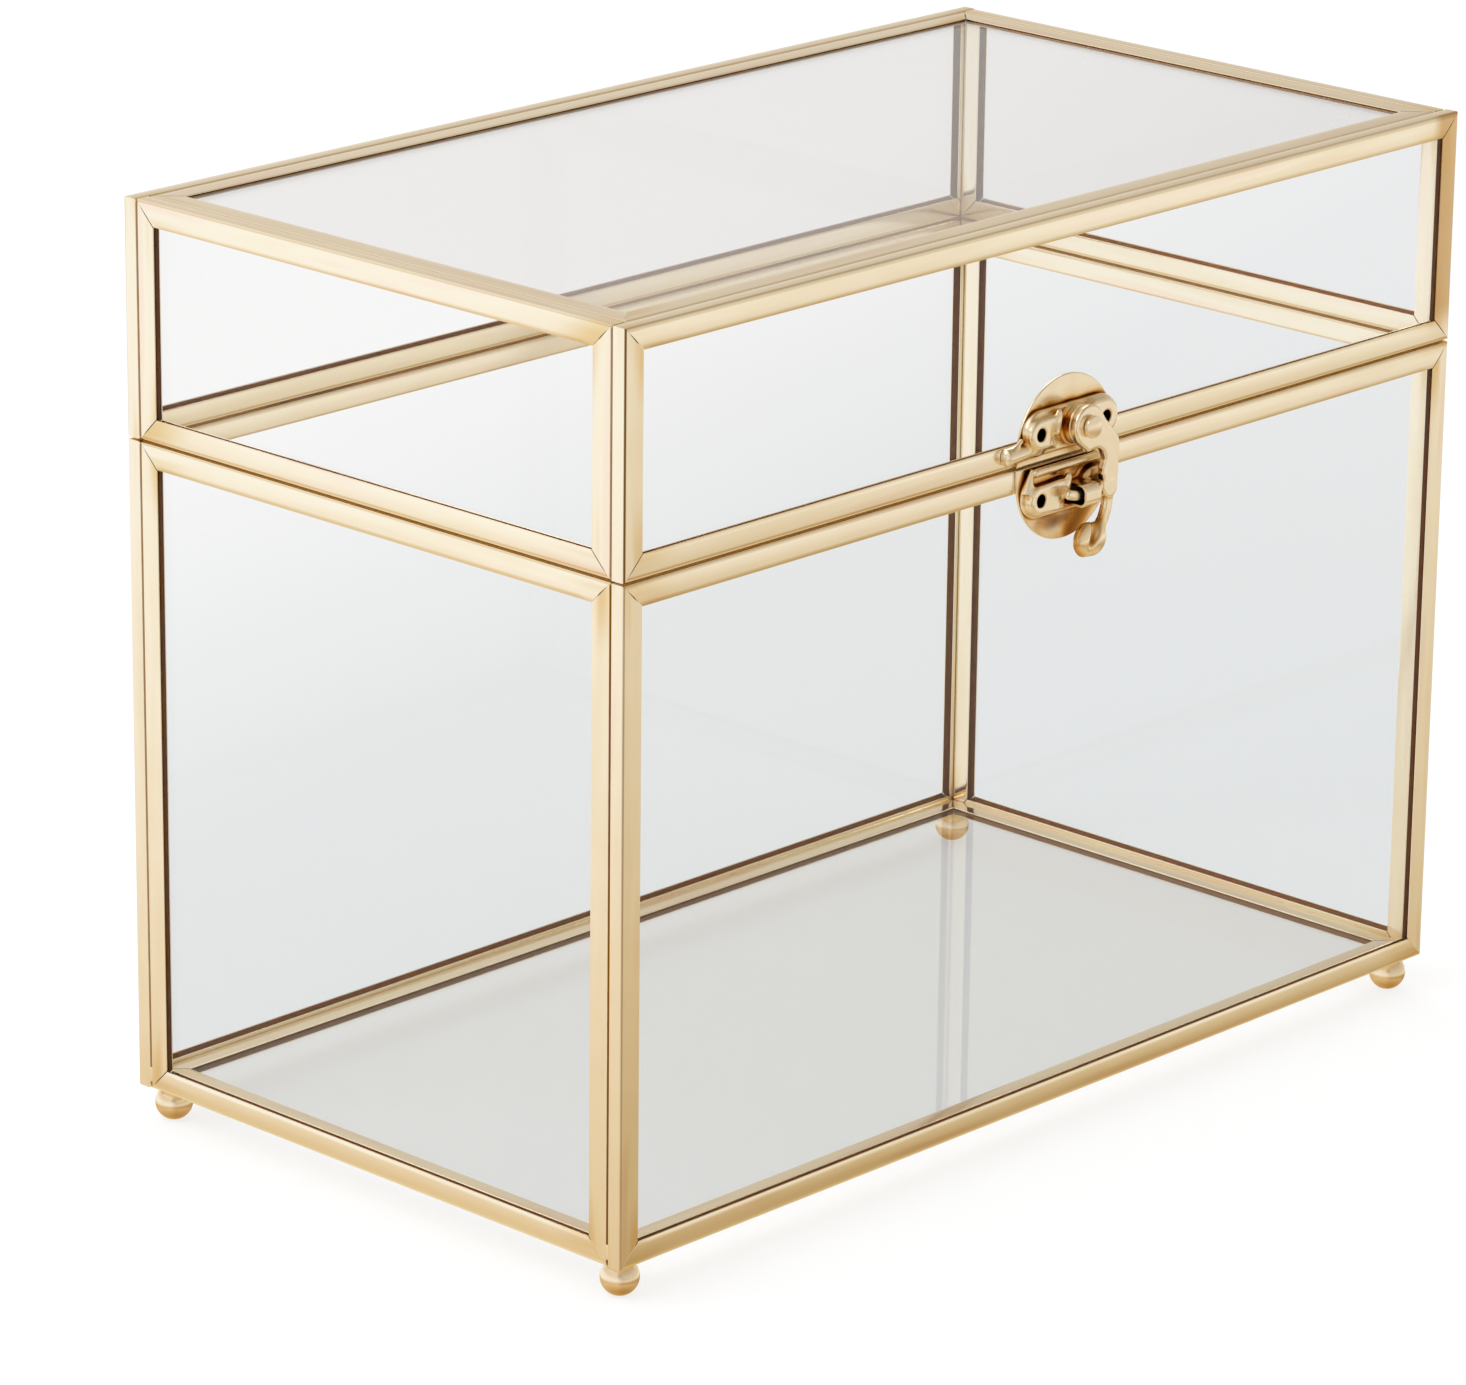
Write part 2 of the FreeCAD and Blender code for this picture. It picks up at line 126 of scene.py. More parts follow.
# What lies below the horizon: the sine of the way down, and the colour there
TABLE_ON_LEFT = {
    0.27: "#FFFFFF", 0.3: "#FFFDF9", 0.316: "#FBF6F0", 0.334: "#F7EDDF", 0.358: "#ECDCC3", 0.4: "#DDC397",
    0.6: "#F0DFBE", 1.0: "#DCC596"}
TABLE_IN_FRONT = {
    0.0: "#D8CBB4", 0.15: "#DCCFB8", 0.215: "#FEFAF4", 0.23: "#FEFAF4", 0.256: "#F5EDE0", 0.27: "#EBE1D0",
    0.298: "#E2D6C1", 0.334: "#DECFB6", 0.352: "#D4BC92", 0.4: "#B19260", 0.6: "#E0CBA0", 1.0: "#C9AE7C"}
# The unlit side of the studio, where the camera stands
UNLIT = "#744A08"
UNLIT_SHARE = 0.4
# How much of the room's colour the outer panes mirror: they face the paper, which is all but grey.
# Past this many surfaces of glass a mirrored ray belongs to the brass inside the box.
PANE_MIRROR_COLOUR = 0.3
PANE_SURFACES = 2.5
# The even light on whatever isn't seen in a mirror
AMBIENT = "#F0F0F0"

# Where left passes into front, where the walls pass into the table, and where the unlit side begins
SIDE_BLEND = (-0.4, 0.4)
TABLE_BLEND = (0.1, -0.15)
UNLIT_SIDE = (-0.45, -0.62)
UNLIT_RISE = (0.02, 0.2)
# A ray that came off one mirror at least
MIRRORED_ONCE = 0.5
WHITE = "#FFFFFF"
SMOOTH = {"interpolation_type": "SMOOTHSTEP"}
COLOURS = {"data_type": "RGBA"}

world = bpy.data.worlds.new("studio")
scene.world = world
world.use_nodes = True
world.node_tree.nodes.clear()
add = partial(add_node, world.node_tree)
way = add("TexCoord").outputs["Generated"]
ways = add("SeparateXYZ", {0: way}).outputs
down = add("Math", {0: ways[2], 1: -1.0}, operation="MULTIPLY")
sideways = add("Math", {0: ways[0], 1: ways[1]}, operation="SUBTRACT")
right_side = add("MapRange", {"Value": sideways, **span("From", SIDE_BLEND)}, **SMOOTH)
halves = []
for rise, *sides in ((ways[2], ROOM_ON_LEFT, ROOM_IN_FRONT), (down, TABLE_ON_LEFT, TABLE_IN_FRONT)):
    ramps = [add("ValToRGB", {0: rise}) for stops in sides]
    for ramp, stops in zip(ramps, sides):
        set_stops(ramp.color_ramp, stops)
    half = add("Mix", {0: right_side, 6: ramps[0], 7: ramps[1]}, **COLOURS)
    halves.append(half.outputs[2])
below = add("MapRange", {"Value": ways[2], **span("From", TABLE_BLEND)}, **SMOOTH)
nearest_way = add("Math", {0: ways[0], 1: ways[1]}, operation="MAXIMUM")
at_camera = add("MapRange", {"Value": nearest_way, **span("From", UNLIT_SIDE)}, **SMOOTH)
above_floor = add(
    "MapRange", {"Value": ways[2], **span("From", UNLIT_RISE), "To Max": UNLIT_SHARE}, **SMOOTH)
unlit = add("Math", {0: at_camera, 1: above_floor}, operation="MULTIPLY")
ray = add("LightPath").outputs
outer = add("Math", {0: ray["Transmission Depth"], 1: PANE_SURFACES}, operation="LESS_THAN")
by_pane = add("Math", {0: ray["Is Singular Ray"], 1: outer}, operation="MULTIPLY")
mirrored = add("Math", {0: ray["Glossy Depth"], 1: MIRRORED_ONCE}, operation="GREATER_THAN")
seen_through = add("Math", {0: ray["Is Transmission Ray"], 1: mirrored}, operation="SUBTRACT")
seen = add("Math", {0: ray["Is Camera Ray"], 1: seen_through}, operation="MAXIMUM")
room = add("Mix", {0: below, 6: halves[0], 7: halves[1]}, **COLOURS).outputs[2]
room = add("Mix", {0: unlit, 6: room, 7: linear(UNLIT)}, **COLOURS).outputs[2]
papery = add("HueSaturation", {"Saturation": PANE_MIRROR_COLOUR, "Color": room})
room = add("Mix", {0: by_pane, 6: room, 7: papery}, **COLOURS).outputs[2]
lit_by = add("Mix", {0: mirrored, 6: linear(AMBIENT), 7: room}, **COLOURS).outputs[2]
shown = add("Mix", {0: seen, 6: lit_by, 7: linear(WHITE)}, **COLOURS).outputs[2]
background = add("Background", {"Color": shown})
add("OutputWorld", {"Surface": background})

# A large soft lamp high on the left, and a weaker one behind on the right, for the shadow alone
LAMPS = {
    "left lamp": ((-0.9, 0.2, 1.2), 1.0, 8.0),
    "right lamp": ((0.7, 0.9, 1.3), 1.0, 4.0),
}
for name, (place, size, power) in LAMPS.items():
    lamp_data = bpy.data.lights.new(name, "AREA")
    lamp_data.shape = "DISK"
    lamp_data.size = size
    lamp_data.energy = power
    lamp = bpy.data.objects.new(name, lamp_data)
    lamp.location = place
    lamp.rotation_euler = (Vector(place) - CAMERA_AIM).to_track_quat("Z", "Y").to_euler()
    lamp.visible_glossy = False
    scene.collection.objects.link(lamp)

# White paper sweep: it gives its own white, and a part of it takes the object's shadow. Through the glass
# it is the bare paper, a shade greyer, and brighter towards the lamp. The brass mirrors the room past it,
# and the unlit floor under the camera.
FLOOR_REACH = 6.0
UNLIT_FLOOR = (-0.08, -0.22)
SHADOW_SHARE = 0.24
BARE_PAPER = "#E7E8E9"
LIT_PAPER = "#F4F4F4"
LIT_REACH = (0.18, 0.36)
LIT_SLANT = -0.3


def new_material(name):
    # An empty material, and add_node for its tree
    material = bpy.data.materials.new(name)
    material.use_nodes = True
    material.node_tree.nodes.clear()
    return material, partial(add_node, material.node_tree)


floor_mesh = bpy.data.meshes.new("floor")
floor_mesh.from_pydata(
    [(x * FLOOR_REACH, y * FLOOR_REACH, 0) for x, y in ((-1, -1), (1, -1), (1, 1), (-1, 1))],
    [], [(0, 1, 2, 3)])
floor = bpy.data.objects.new("floor", floor_mesh)
scene.collection.objects.link(floor)
paper, add = new_material("white paper sweep")
floor_ray = add("LightPath").outputs
floor_place = add("TexCoord").outputs["Object"]
floor_ways = add("SeparateXYZ", {0: floor_place}).outputs
to_lamp = add("Math", {0: floor_ways[0], 1: LIT_SLANT, 2: floor_ways[1]}, operation="MULTIPLY_ADD")
lit_share = add("MapRange", {"Value": to_lamp, **span("From", LIT_REACH)})
bare = add("Mix", {0: lit_share, 6: linear(BARE_PAPER), 7: linear(LIT_PAPER)}, **COLOURS).outputs[2]
page = add("Mix", {0: floor_ray["Is Transmission Ray"], 6: linear(WHITE), 7: bare}, **COLOURS).outputs[2]
glow = add("Emission", {"Color": page})
matt = add("BsdfDiffuse", {"Color": page})
sheet = add("MixShader", {0: SHADOW_SHARE, 1: glow, 2: matt})
nearest_floor = add("Math", {0: floor_ways[0], 1: floor_ways[1]}, operation="MAXIMUM")
under_camera = add(
    "MapRange", {"Value": nearest_floor, **span("From", UNLIT_FLOOR), "To Max": UNLIT_SHARE}, **SMOOTH)
past = add("BsdfTransparent")
gloom = add("Emission", {"Color": linear(UNLIT)})
past = add("MixShader", {0: under_camera, 1: past, 2: gloom})
in_mirror = add("Math", {0: floor_ray["Glossy Depth"], 1: MIRRORED_ONCE}, operation="GREATER_THAN")
sheet = add("MixShader", {0: in_mirror, 1: sheet, 2: past})
add("OutputMaterial", {"Surface": sheet})
floor_mesh.materials.append(paper)

# Panes: ten sheets of clear 3 mm float glass, cut square and slid into the channels.
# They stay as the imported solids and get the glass.
GLASS_LOW = "#FBFCFC"
GLASS_HIGH = "#FEFEFE"
GLASS_IOR = 1.5
GLASS_RISE = (60.0 * MM, 180.0 * MM)
# How much the upright panes mirror, and the lying ones
GLASS_GLOSS = {"upright": "#3C3C3C", "lying": "#34383E"}

# Clear float glass: polished on both sides, so it mirrors sharply, and all but colourless.
# It greens a little towards the floor, and is painted darker there as painted shade. Lamps shine through
# it, as they do through a real pane.
glasses = {}
for lie, gloss in GLASS_GLOSS.items():
    glasses[lie], add = new_material(f"clear float glass, {lie}")
    pane_place = add("TexCoord").outputs["Object"]
    pane_height = add("SeparateXYZ", {0: pane_place}).outputs[2]
    risen = add("MapRange", {"Value": pane_height, **span("From", GLASS_RISE)}, **SMOOTH)
    darker_towards_floor = add("Mix", {0: risen, 6: linear(GLASS_LOW), 7: linear(GLASS_HIGH)}, **COLOURS).outputs[2]
    glass_body = add("BsdfPrincipled", {
        "Base Color": darker_towards_floor, "Roughness": 0.0, "IOR": GLASS_IOR, "Specular Tint": linear(gloss),
        "Transmission Weight": 1.0})
    lamp_light = add("BsdfTransparent", {"Color": darker_towards_floor})
    glass_ray = add("LightPath").outputs
    pane_glass = add("MixShader", {0: glass_ray["Is Shadow Ray"], 1: glass_body, 2: lamp_light})
    add("OutputMaterial", {"Surface": pane_glass})

panels = [f"{part}_{side}" for part in ("base", "lid") for side in ("front", "back", "left", "right")]
panels += ["floor", "top"]
for panel in panels:
    pane = nodes[f"{panel}_pane"]
    pane.data.materials.clear()
    pane.data.materials.append(glasses["lying" if panel in ("floor", "top") else "upright"])

# Channel frames: brass strip folded into a channel round each pane, mitred at the four corners.
# The mitres are soldered towards the outside and stay open as a fine slit towards the pane.
FLANGE_WIDTH = 5.0 * MM
STRIP_THICKNESS = 0.25 * MM
BEND_RADIUS = 0.55 * MM
INNER_TRIM = 0.4 * MM
FLANGE_FALL = 0.04 * MM
BEND_FALL = 0.08 * MM
CROWN_RADIUS = 60.0 * MM
EDGE_ROUNDING = 0.12 * MM
BRIGHT_RIM = 0.4 * MM
MITRE_SLIT = 0.14 * MM
SLIT_START = 0.9 * MM
SLIT_TAPER = 1.2 * MM
SEGMENT_LENGTH = 4.0 * MM

# Satin brass strip: rolled, polished and lacquered pale champagne, so it mirrors the room softly.
# The torch left amber and a little pink near the joints and along the inner edges. The lid's right front
# post has gone amber all the way up. A dark line is painted along the box's upright edges as a painted
# reflection of the unlit side of the room, stronger on the lid.
BRASS_PALE = "#FDF5E1"
BRASS_AMBER = "#E9CB90"
BRASS_PINK = "#F7E0CE"
BRASS_TARNISHED = "#CFA76A"
BRASS_EDGE_REFLECTION = "#8A6626"
BRASS_ROUGHNESS = (0.12, 0.2)
STREAK_LENGTH = 60.0 * MM
STREAK_WIDTH = 5.0 * MM
# How far the torch's heat reached, and its share of amber at the joint and beyond, and across the flange
HEAT_REACH = (0.0, 14.0 * MM)
HEAT_SHARE = (0.9, 0.15)
FLANGE_REACH = (0.45, 1.0)
FLANGE_SHARE = (0.1, 0.12)
# Which of the streaks turn amber, which turn pink, and how pink, and which are rubbed
AMBER_STREAKS = (0.4, 0.75)
PINK_STREAKS = (0.5, 0.3)
PINK_SHARE = 0.5
RUBBED_STREAKS = (0.3, 0.7)
# The tarnished post: where it begins from the left, below and behind
POST_LEFT = (117.4 * MM, 121.4 * MM)
POST_FOOT = (150.0 * MM, 158.0 * MM)
POST_BACK = -68.0 * MM
POST_SHARE = 0.8
# The painted dark reflection on the upright edges: how far it reaches, and its share on the base
EDGE_REFLECTION_REACH = (0.54 * MM, 0.27 * MM)
EDGE_REFLECTION_ON_BASE = 0.35
WAVE_LENGTH = 16.0 * MM
WAVE_DEPTH = 0.05 * MM
box_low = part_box("lid_front_frame")[0]
box_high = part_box("lid_back_frame")[1]

brass, add = new_material("satin brass strip")
strip_place = add("Attribute", attribute_name="strip_place").outputs["Vector"]
across = add("Attribute", attribute_name="across").outputs["Fac"]
from_corner = add("Attribute", attribute_name="from_corner").outputs["Fac"]
drawn_out = add("VectorMath", {
    0: strip_place, 1: (1 / STREAK_LENGTH, 1 / STREAK_WIDTH, 1 / STREAK_WIDTH)}, operation="MULTIPLY")
streaks = add("TexNoise", {"Vector": drawn_out, "Scale": 1.0, "Detail": 2.0, "Roughness": 0.5})
near_joint = add(
    "MapRange", {"Value": from_corner, **span("From", HEAT_REACH), **span("To", HEAT_SHARE)}, **SMOOTH)
near_pane = add(
    "MapRange", {"Value": across, **span("From", FLANGE_REACH), **span("To", FLANGE_SHARE)}, **SMOOTH)
heated = add("Math", {0: near_joint, 1: near_pane}, operation="MAXIMUM")
streaked = add("MapRange", {"Value": streaks, **span("From", AMBER_STREAKS)}, **SMOOTH)
amber = add("Math", {0: heated, 1: streaked}, operation="MULTIPLY")
pink = add("MapRange", {"Value": streaks, **span("From", PINK_STREAKS), "To Max": PINK_SHARE}, **SMOOTH)
brass_place = add("TexCoord").outputs["Object"]
brass_ways = add("SeparateXYZ", {0: brass_place}).outputs
post_right = add("MapRange", {"Value": brass_ways[0], **span("From", POST_LEFT)}, **SMOOTH)
post_high = add(
    "MapRange", {"Value": brass_ways[2], **span("From", POST_FOOT), "To Max": POST_SHARE}, **SMOOTH)
post_front = add("Math", {0: brass_ways[1], 1: POST_BACK}, operation="LESS_THAN")
tarnished = add("Math", {0: post_right, 1: post_high}, operation="MULTIPLY")
tarnished = add("Math", {0: tarnished, 1: post_front}, operation="MULTIPLY")
to_edge = brass_place
for operation, amount in (
        ("SUBTRACT", (box_low + box_high) / 2), ("ABSOLUTE", (0, 0, 0)),
        ("SUBTRACT", (box_high - box_low) / 2), ("MULTIPLY", (1, 1, 0))):
    to_edge = add("VectorMath", {0: to_edge, 1: amount}, operation=operation)
edge_distance = add("VectorMath", {0: to_edge}, operation="LENGTH").outputs["Value"]
# Painted reflection: a dark line along the box's upright edges, weaker on the base
edge_reflection_share = add("MapRange", {
    "Value": brass_ways[2], **span("From", (box_low.z - 1 * MM, box_low.z)), "To Min": EDGE_REFLECTION_ON_BASE})
painted_edge_reflection = add("MapRange", {"Value": edge_distance, **span("From", EDGE_REFLECTION_REACH), "To Max": edge_reflection_share}, **SMOOTH)
tinted = linear(BRASS_PALE)
for share, colour in (
        (amber, BRASS_AMBER), (pink, BRASS_PINK), (tarnished, BRASS_TARNISHED), (painted_edge_reflection, BRASS_EDGE_REFLECTION)):
    tinted = add("Mix", {0: share, 6: tinted, 7: linear(colour)}, **COLOURS).outputs[2]
rub = add("MapRange", {"Value": streaks, **span("From", RUBBED_STREAKS), **span("To", BRASS_ROUGHNESS)})
waves = add("TexNoise", {"Vector": strip_place, "Scale": 1 / WAVE_LENGTH, "Detail": 1.0})
waved = add("Bump", {"Strength": 1.0, "Distance": WAVE_DEPTH, "Height": waves})
brass_skin = add(
    "BsdfPrincipled", {"Base Color": tinted, "Metallic": 1.0, "Roughness": rub, "Normal": waved})
add("OutputMaterial", {"Surface": brass_skin})

# Brass dulled by flux: the inside of the channel never was polished, and shows dark brown through the
# glass. The web's outer face where the lid closes on the base is given it as painted shade for the seam,
# lighter there and half metal.
FLUX_BROWN = "#B06A1C"
FLUX_DARK = "#8A4E12"
SEAM_SHADE_AMBER = "#F0C070"
FLUX_SPOT = 3.0 * MM
FLUX_ROUGHNESS = (0.45, 0.7)
FLUX_GLOSS = 0.1
SEAM_REACH = 0.4 * MM
SEAM_METAL = 0.5
seam_z = (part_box("base_front_frame")[1].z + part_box("lid_front_frame")[0].z) / 2
dull, add = new_material("brass dulled by flux")
stain_place = add("TexCoord").outputs["Object"]
spots = add("TexNoise", {"Vector": stain_place, "Scale": 1 / FLUX_SPOT, "Detail": 2.0})
stain_height = add("SeparateXYZ", {0: stain_place}).outputs[2]
at_seam = add("Math", {0: stain_height, 1: seam_z, 2: SEAM_REACH}, operation="COMPARE")
stained = linear(FLUX_BROWN)
for share, colour in ((spots, FLUX_DARK), (at_seam, SEAM_SHADE_AMBER)):
    stained = add("Mix", {0: share, 6: stained, 7: linear(colour)}, **COLOURS).outputs[2]
crusted = add("MapRange", {"Value": spots, **span("To", FLUX_ROUGHNESS)})
half_bright = add("Math", {0: at_seam, 1: SEAM_METAL}, operation="MULTIPLY")
dull_skin = add("BsdfPrincipled", {
    "Base Color": stained, "Metallic": half_bright, "Roughness": crusted, "Specular IOR Level": FLUX_GLOSS})
add("OutputMaterial", {"Surface": dull_skin})


def new_tree(name, numbers, materials, start=None):
    # A tree with named inputs, add_node for it, the inputs' identifiers, and the sockets of their values
    tree = bpy.data.node_groups.new(name, "GeometryNodeTree")
    kinds = {start: "Geometry"} if start else {}
    kinds.update(dict.fromkeys(numbers, "Float"))
    kinds.update(dict.fromkeys(materials, "Material"))
    identifiers = {}
    for label, kind in kinds.items():
        socket = tree.interface.new_socket(name=label, in_out="INPUT", socket_type=f"NodeSocket{kind}")
        identifiers[label] = socket.identifier
    tree.interface.new_socket(name="Geometry", in_out="OUTPUT", socket_type="NodeSocketGeometry")
    return tree, partial(add_node, tree), identifiers, tree.nodes.new("NodeGroupInput").outputs


CHANNEL_SIZES = {
    "Flange": FLANGE_WIDTH, "Strip": STRIP_THICKNESS, "Bend": BEND_RADIUS, "Fall": FLANGE_FALL,
    "Bend fall": BEND_FALL, "Crown": CROWN_RADIUS, "Edge": EDGE_ROUNDING, "Rim": BRIGHT_RIM,
    "Slit": MITRE_SLIT, "Slit start": SLIT_START, "Slit taper": SLIT_TAPER, "Segment": SEGMENT_LENGTH,
}
PANEL_SIZES = ("Width", "Height", "Thickness", "Front trim", "Back trim", "Seed", "Dull top")
channel, add, channel_inputs, size = new_tree(
    "channel frame", [*CHANNEL_SIZES, *PANEL_SIZES], ("Outside", "Inside"))

# The section: twelve corners counted round the folded strip, from the front edge over the web to the back,
# and back again inside it. First the sums that place them.
SECTION_SUMS = {
    "half": ("Thickness", "MULTIPLY", 0.5), "crown in": ("Flange", "MULTIPLY", 0.5),
    "edge out": ("half", "SUBTRACT", "Fall"), "edge in": ("edge out", "SUBTRACT", "Strip"),
    "bend out": ("half", "SUBTRACT", "Bend fall"), "slot half": ("bend out", "SUBTRACT", "Strip"),
    "front in": ("Flange", "SUBTRACT", "Front trim"), "front rim": ("front in", "SUBTRACT", "Rim"),
    "back in": ("Flange", "SUBTRACT", "Back trim"), "back rim": ("back in", "SUBTRACT", "Rim"),
    "inner bend": ("Bend", "SUBTRACT", "Strip"), "slit full": ("Slit start", "ADD", "Slit taper"),
}
at = dict(size.items())
for name, (first, operation, second) in SECTION_SUMS.items():
    at[name] = add("Math", {0: at[first], 1: at.get(second, second)}, operation=operation)
corner_depths = [
    "front in", "crown in", 0.0, 0.0, "crown in", "back in",
    "back in", "back rim", "Strip", "Strip", "front rim", "front in"]
corner_heights = [
    "edge out", "half", "bend out", "bend out", "half", "edge out",
    "edge in", "edge in", "slot half", "slot half", "edge in", "edge in"]
corner_radii = [
    "Edge", "Crown", "Bend", "Bend", "Crown", "Edge",
    "Edge", 0.0, "inner bend", "inner bend", 0.0, "Edge"]
corner_sides = [1.0] * 3 + [-1.0] * 6 + [1.0] * 3
corner_inside = [0.0] * 7 + [1.0] * 4 + [0.0]
POINT_NUMBER = {"data_type": "FLOAT", "domain": "POINT"}
corner_index = add("InputIndex")
by_corner = []
for values in (corner_depths, corner_heights, corner_radii, corner_sides, corner_inside):
    picker = add("IndexSwitch", {"Index": corner_index}, data_type="FLOAT")
    while len(picker.index_switch_items) < len(values):
        picker.index_switch_items.new()
    fill(channel, picker, {i + 1: at.get(value, value) for i, value in enumerate(values)})
    by_corner.append(picker)
depth, height, radius, side, inside = by_corner
corners = add("CurvePrimitiveCircle", {"Resolution": len(corner_depths)})
height = add("Math", {0: height, 1: side}, operation="MULTIPLY")
corner_place = add("CombineXYZ", {0: depth, 1: height})
section = add("SetPosition", {"Geometry": corners, "Position": corner_place})
section = add(
    "StoreNamedAttribute", {"Geometry": section, "Name": "inside", "Value": inside}, **POINT_NUMBER)
section = add(
    "FilletCurve", {"Curve": section, "Count": 4, "Radius": radius, "Limit Radius": True}, mode="POLY")

# The four rails: the section drawn along each side, cut to the mitre, with the slit opening inwards
rails = add("JoinGeometry")
MITRE_TOUCH = 0.01 * MM
for rail_name, across_name, angle in (("Width", "Height", 0), ("Height", "Width", 90)):
    reach = add("Math", {0: size[rail_name], 1: 0.5}, operation="MULTIPLY")
    end = add("CombineXYZ", {0: reach})
    start = add("VectorMath", {0: (0, 0, 0), 1: end}, operation="SUBTRACT")
    line = add("CurvePrimitiveLine", {"Start": start, "End": end})
    line = add("ResampleCurve", {"Curve": line, "Length": size["Segment"]}, mode="LENGTH")
    rail = add("CurveToMesh", {"Curve": line, "Profile Curve": section, "Fill Caps": True})
    swept_place = add("InputPosition")
    swept = add("SeparateXYZ", {0: swept_place}).outputs
    inward = add("Math", {0: swept[1], 1: -1.0}, operation="MULTIPLY")
    opening = add("MapRange", {
        "Value": inward, **span("From", (size["Slit start"], at["slit full"])),
        **span("To", (MITRE_TOUCH, size["Slit"]))})
    cut = add("Math", {0: inward, 1: opening}, operation="ADD")
    left_over = add("Math", {0: reach, 1: cut}, operation="SUBTRACT")
    short = add("Math", {0: left_over, 1: reach}, operation="DIVIDE")
    along = add("Math", {0: swept[0], 1: short}, operation="MULTIPLY")
    mitred = add("CombineXYZ", {0: along, 1: swept[1], 2: swept[2]})
    from_middle = add("Math", {0: along}, operation="ABSOLUTE")
    to_corner = add("Math", {0: left_over, 1: from_middle}, operation="SUBTRACT")
    inward_share = add("Math", {0: inward, 1: size["Flange"]}, operation="DIVIDE")
    shift = add("Math", {0: size["Seed"], 1: angle * MM}, operation="ADD")
    shifted = add("Math", {0: along, 1: shift}, operation="ADD")
    strip_point = add("CombineXYZ", {0: shifted, 1: inward, 2: swept[2]})
    for name, value, kind in (
            ("across", inward_share, "FLOAT"), ("from_corner", to_corner, "FLOAT"),
            ("strip_place", strip_point, "FLOAT_VECTOR")):
        rail = add("StoreNamedAttribute", {
            "Geometry": rail, "Name": name, "Value": value}, data_type=kind, domain="POINT")
    rail = add("SetPosition", {"Geometry": rail, "Position": mitred})
    outwards = add("Math", {0: size[across_name], 1: 0.5}, operation="MULTIPLY")
    offset = add("CombineXYZ", {1: outwards})
    rail = add("Transform", {"Geometry": rail, "Translation": offset})
    for half_turn in (0, 180):
        turned = add("Transform", {"Geometry": rail, "Rotation": (0, 0, math.radians(angle + half_turn))})
        if angle + half_turn == 0:
            turned = add("StoreNamedAttribute", {
                "Geometry": turned, "Name": "meeting", "Value": size["Dull top"]}, **POINT_NUMBER)
        channel.links.new(turned.outputs[0], rails.inputs[0])
whole = add("RealizeInstances", {"Geometry": rails})
whole = add("SetShadeSmooth", {"Geometry": whole, "Shade Smooth": True})
whole = add("SetMaterial", {"Geometry": whole, "Material": size["Outside"]})
# The inside is dull, and so is the outer face of the web where the lid meets the base, as painted shade for
# the seam
WEB_ACROSS = 0.001
DULL_FROM = 0.9
named = {
    name: add("InputNamedAttribute", {"Name": name}, data_type="FLOAT")
    for name in ("inside", "meeting", "across")}
on_web = add("Math", {0: named["across"], 1: WEB_ACROSS}, operation="LESS_THAN")
meets = add("Math", {0: named["meeting"], 1: on_web}, operation="MULTIPLY")
unpolished = add("Math", {0: named["inside"], 1: meets}, operation="MAXIMUM")
is_dull = add("Compare", {0: unpolished, 1: DULL_FROM}, operation="GREATER_THAN")
whole = add("SetMaterial", {"Geometry": whole, "Selection": is_dull, "Material": size["Inside"]})
add("GroupOutput", {"Geometry": whole})


def grown(name, tree, inputs, values, start=None):
    # The plain mesh that a tree makes from these values and a starting mesh, as an object of its own
    seed = bpy.data.objects.new(name, start or bpy.data.meshes.new(name))
    scene.collection.objects.link(seed)
    growing = seed.modifiers.new(name, "NODES")
    growing.node_group = tree
    for key, value in values.items():
        growing[inputs[key]] = value
    finished = bpy.data.meshes.new_from_object(seed.evaluated_get(bpy.context.evaluated_depsgraph_get()))
    seed.modifiers.remove(growing)
    seed.data = finished
    finished.name = name
    return seed


# A panel stands facing front, stands facing a side, or lies flat
PANEL_TURNS = {
    "front": Matrix.Rotation(math.radians(90), 4, "X"),
    "side": Matrix.Rotation(math.radians(90), 4, "Z") @ Matrix.Rotation(math.radians(90), 4, "X"),
    "flat": Matrix.Identity(4),
}
for i, panel in enumerate(panels):
    low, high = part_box(f"{panel}_frame")
    extent = high - low
    if panel in ("floor", "top"):
        turn, width, height, thickness = PANEL_TURNS["flat"], extent.x, extent.y, extent.z
    elif panel.endswith(("left", "right")):
        turn, width, height, thickness = PANEL_TURNS["side"], extent.y, extent.z, extent.x
    else:
        turn, width, height, thickness = PANEL_TURNS["front"], extent.x, extent.z, extent.y
    inside_front = panel.endswith(("front", "right", "top"))
    values = {
        **CHANNEL_SIZES, "Width": width, "Height": height, "Thickness": thickness, "Seed": float(i),
        "Front trim": INNER_TRIM if inside_front else 0.0, "Back trim": 0.0 if inside_front else INNER_TRIM,
        "Dull top": float(panel.startswith("base")), "Outside": brass, "Inside": dull}
    channel_frame = grown(f"{panel}_channel", channel, channel_inputs, values)
    channel_frame.data.transform(Matrix.Translation((low + high) / 2) @ turn)
    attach(channel_frame, "lid" if panel == "top" or panel.startswith("lid") else "base")
    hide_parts(f"{panel}_frame")

